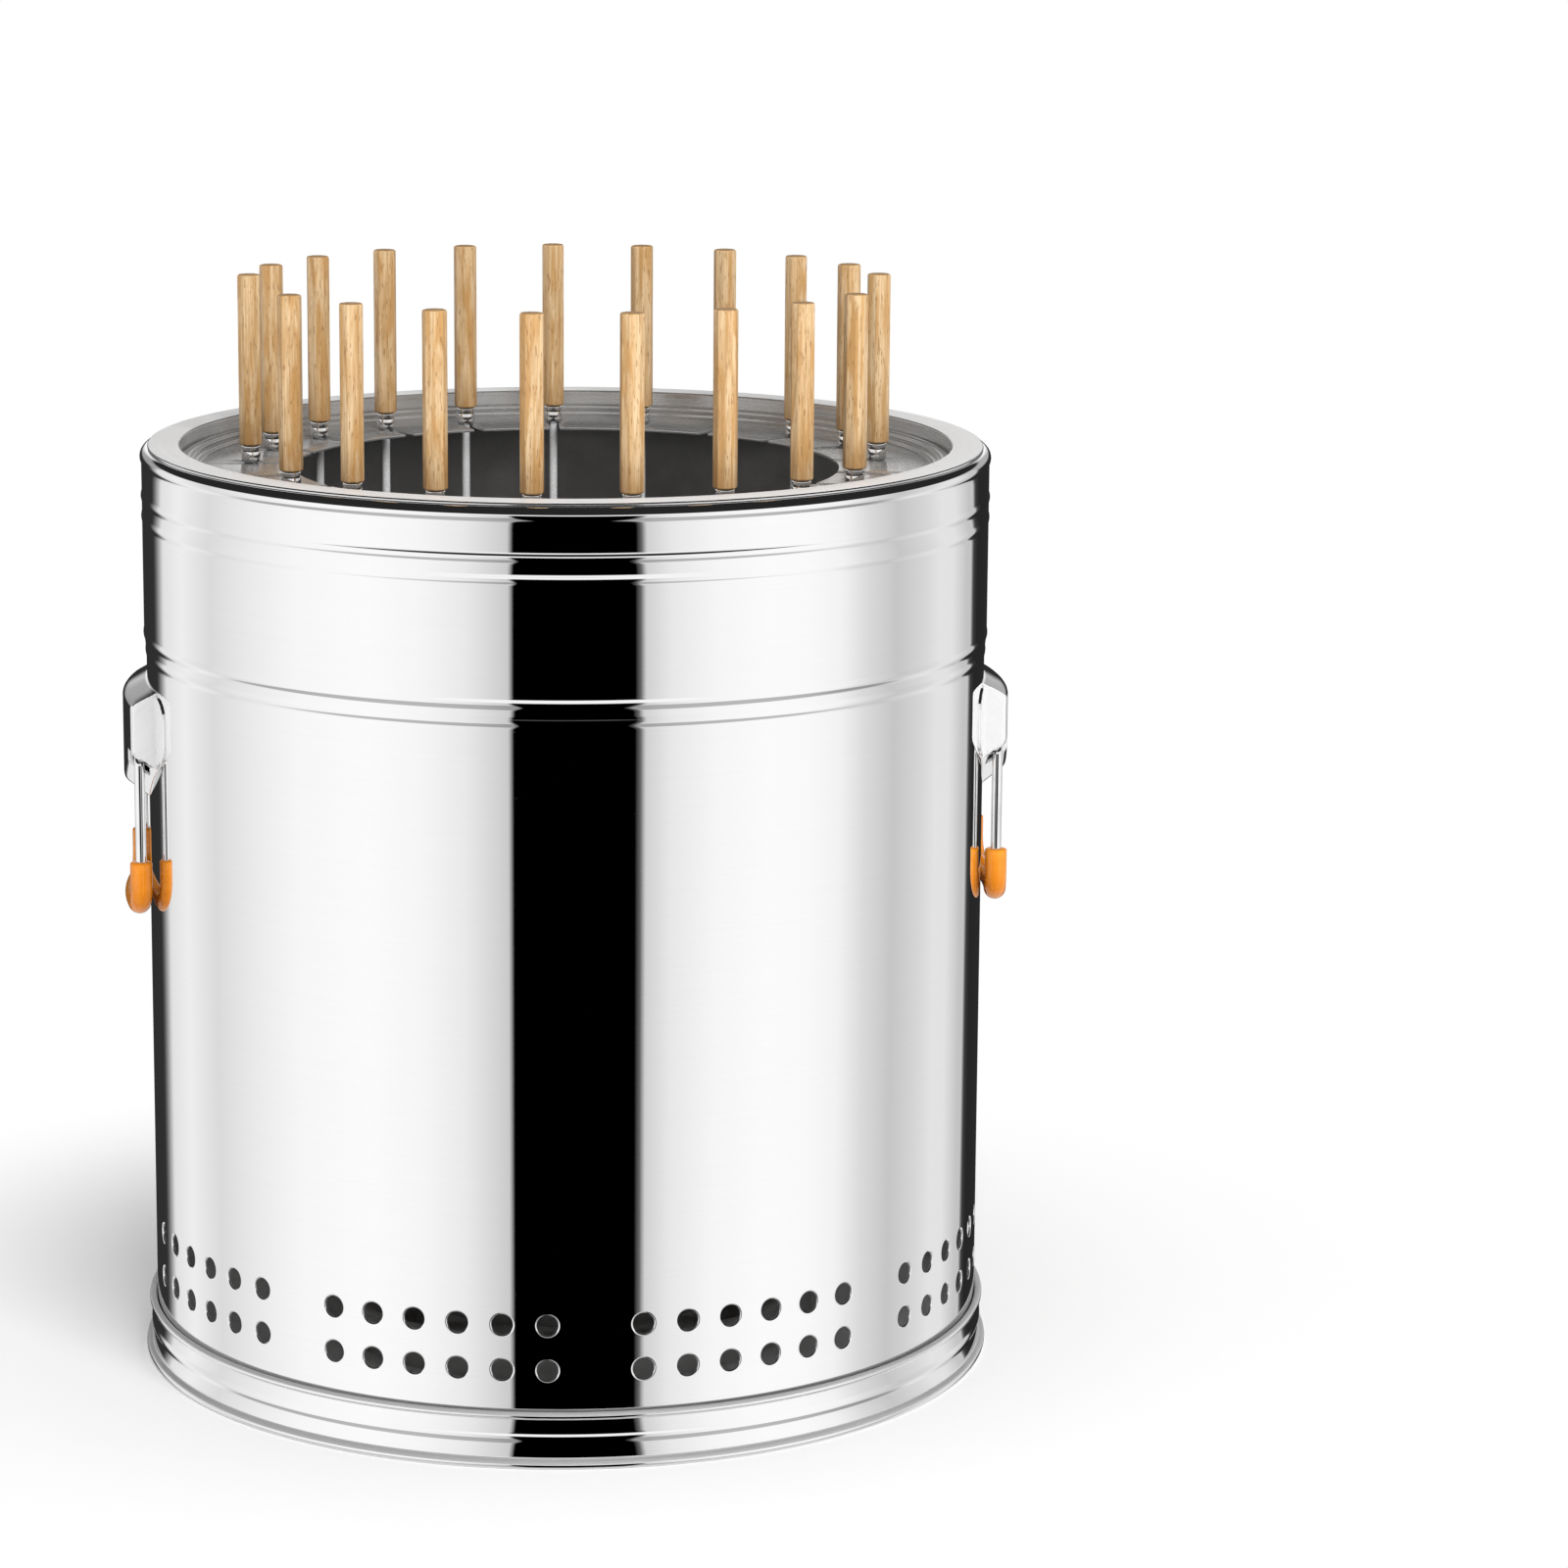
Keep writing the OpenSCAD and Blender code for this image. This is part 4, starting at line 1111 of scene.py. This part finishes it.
def studio_world():
    """Soft light all round. Metal sees the studio's walls, ceiling and floor; the camera sees plain white."""
    world = bpy.data.worlds.new("studio")
    bpy.context.scene.world = world
    world.use_nodes = True
    tree = world.node_tree
    tree.nodes.clear()
    look = add(tree, "SeparateXYZ", Vector=add(tree, "TexCoord").outputs["Generated"]).outputs
    turn = calc(tree, "ARCTAN2", look[0], calc(tree, "MULTIPLY", look[1], -1.0))
    share = calc(tree, "FRACT", calc(tree, "MULTIPLY_ADD", turn, 0.5 / math.pi, 0.5 + CAMERA_TURN / 360))
    walls = level_ramp(tree, share, STUDIO_WALLS)
    upper = level_ramp(tree, share, STUDIO_UPPER_WALLS)
    behind = between(tree, calc(tree, "ABSOLUTE", calc(tree, "SUBTRACT", share, 0.5)), *BEHIND_FROM)
    floor = mix(tree, 1 - STUDIO_FLOOR_SHARE, walls, grey(0.0))
    floor = mix(tree, behind, floor, grey(STUDIO_FLOOR_BEHIND))
    studio = mix(tree, between(tree, look[2], *UPPER_WALLS_FROM), walls, upper)
    studio = mix(tree, between(tree, look[2], *CEILING_FROM), studio, grey(STUDIO_CEILING))
    studio = mix(tree, between(tree, look[2], *FLOOR_FROM), studio, floor)
    rays = add(tree, "LightPath").outputs
    shiny = calc(tree, "MAXIMUM", rays["Is Glossy Ray"], rays["Is Transmission Ray"])
    light = mix(tree, shiny, grey(STUDIO_SOFT_LIGHT), studio)
    light = mix(tree, rays["Is Camera Ray"], light, grey(1.0))
    back = add(tree, "Background", Color=light, Strength=1.0)
    plug(tree, add(tree, "OutputWorld").inputs["Surface"], back.outputs[0])


def studio_floor():
    """A pale round floor that keeps the grill's shadow and fades into the white around it."""
    points, faces = turned([(r, 0) for r in FLOOR_RINGS], even_turns(64), closed=False)
    mesh = bpy.data.meshes.new("studio_floor")
    mesh.from_pydata([Vector(p) * MM for p in points], [], faces)
    finish = bpy.data.materials.new("pale floor")
    finish.use_nodes = True
    tree = finish.node_tree
    tree.nodes.clear()
    where = add(tree, "SeparateXYZ", Vector=add(tree, "TexCoord").outputs["Object"]).outputs
    far = between(tree, axis_distance(tree, where), *SHADOW_FADE)
    paint = add(tree, "BsdfDiffuse", Color=grey(0.985))
    white = add(tree, "Emission", Color=grey(1.0), Strength=1.0)
    blend = add(tree, "MixShader")
    seen = calc(tree, "MULTIPLY", far, add(tree, "LightPath").outputs["Is Camera Ray"])
    for socket, value in zip(blend.inputs, (seen, paint.outputs[0], white.outputs[0])):
        plug(tree, socket, value)
    plug(tree, add(tree, "OutputMaterial").inputs["Surface"], blend.outputs[0])
    mesh.materials.append(finish)
    floor = bpy.data.objects.new("studio_floor", mesh)
    floor.visible_glossy = False
    bpy.context.scene.collection.objects.link(floor)


def studio_lamp(name, place_at, aim, size, power):
    """A soft square lamp that polished metal doesn't mirror."""
    data = bpy.data.lights.new(name, "AREA")
    data.size = size
    data.energy = power
    lamp = bpy.data.objects.new(name, data)
    lamp.location = place_at
    lamp.rotation_euler = (Vector(aim) - Vector(place_at)).to_track_quat("-Z", "Y").to_euler()
    lamp.visible_glossy = False
    bpy.context.scene.collection.objects.link(lamp)


# The whole grill

studio_camera()
studio_world()
studio_floor()
studio_lamp("soft_lamp", (0.65, -2.4, 2.0), (0, 0, 0.42), 1.6, 72)

barrel_wall()
base_ring()
ring_collar()
skewer_plate()
for side in (1, -1):
    bracket(side)
    bail(side)
filled = [k for k in range(SLOT_COUNT) if k not in EMPTY_SLOTS]
for number, k in enumerate(filled, start=1):
    skewer(number, SLOT_TURN + k * 360 / SLOT_COUNT)

CAD_FINISHES = {
    "base_plate": FLOOR_STEEL,
    "right_lugs": BRACKET_POLISH,
    "left_lugs": BRACKET_POLISH,
    "ash_pan": PAN_SMOKED,
    "basket_cage": BASKET_SMOKED,
    "basket_grate": BASKET_SMOKED,
    "basket_feet": BASKET_SMOKED,
    "basket_handle": WIRE_BRIGHT,
}
for name, finish in CAD_FINISHES.items():
    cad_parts[name].material_slots[0].material = finish

bpy.context.scene.view_settings.view_transform = "Standard"
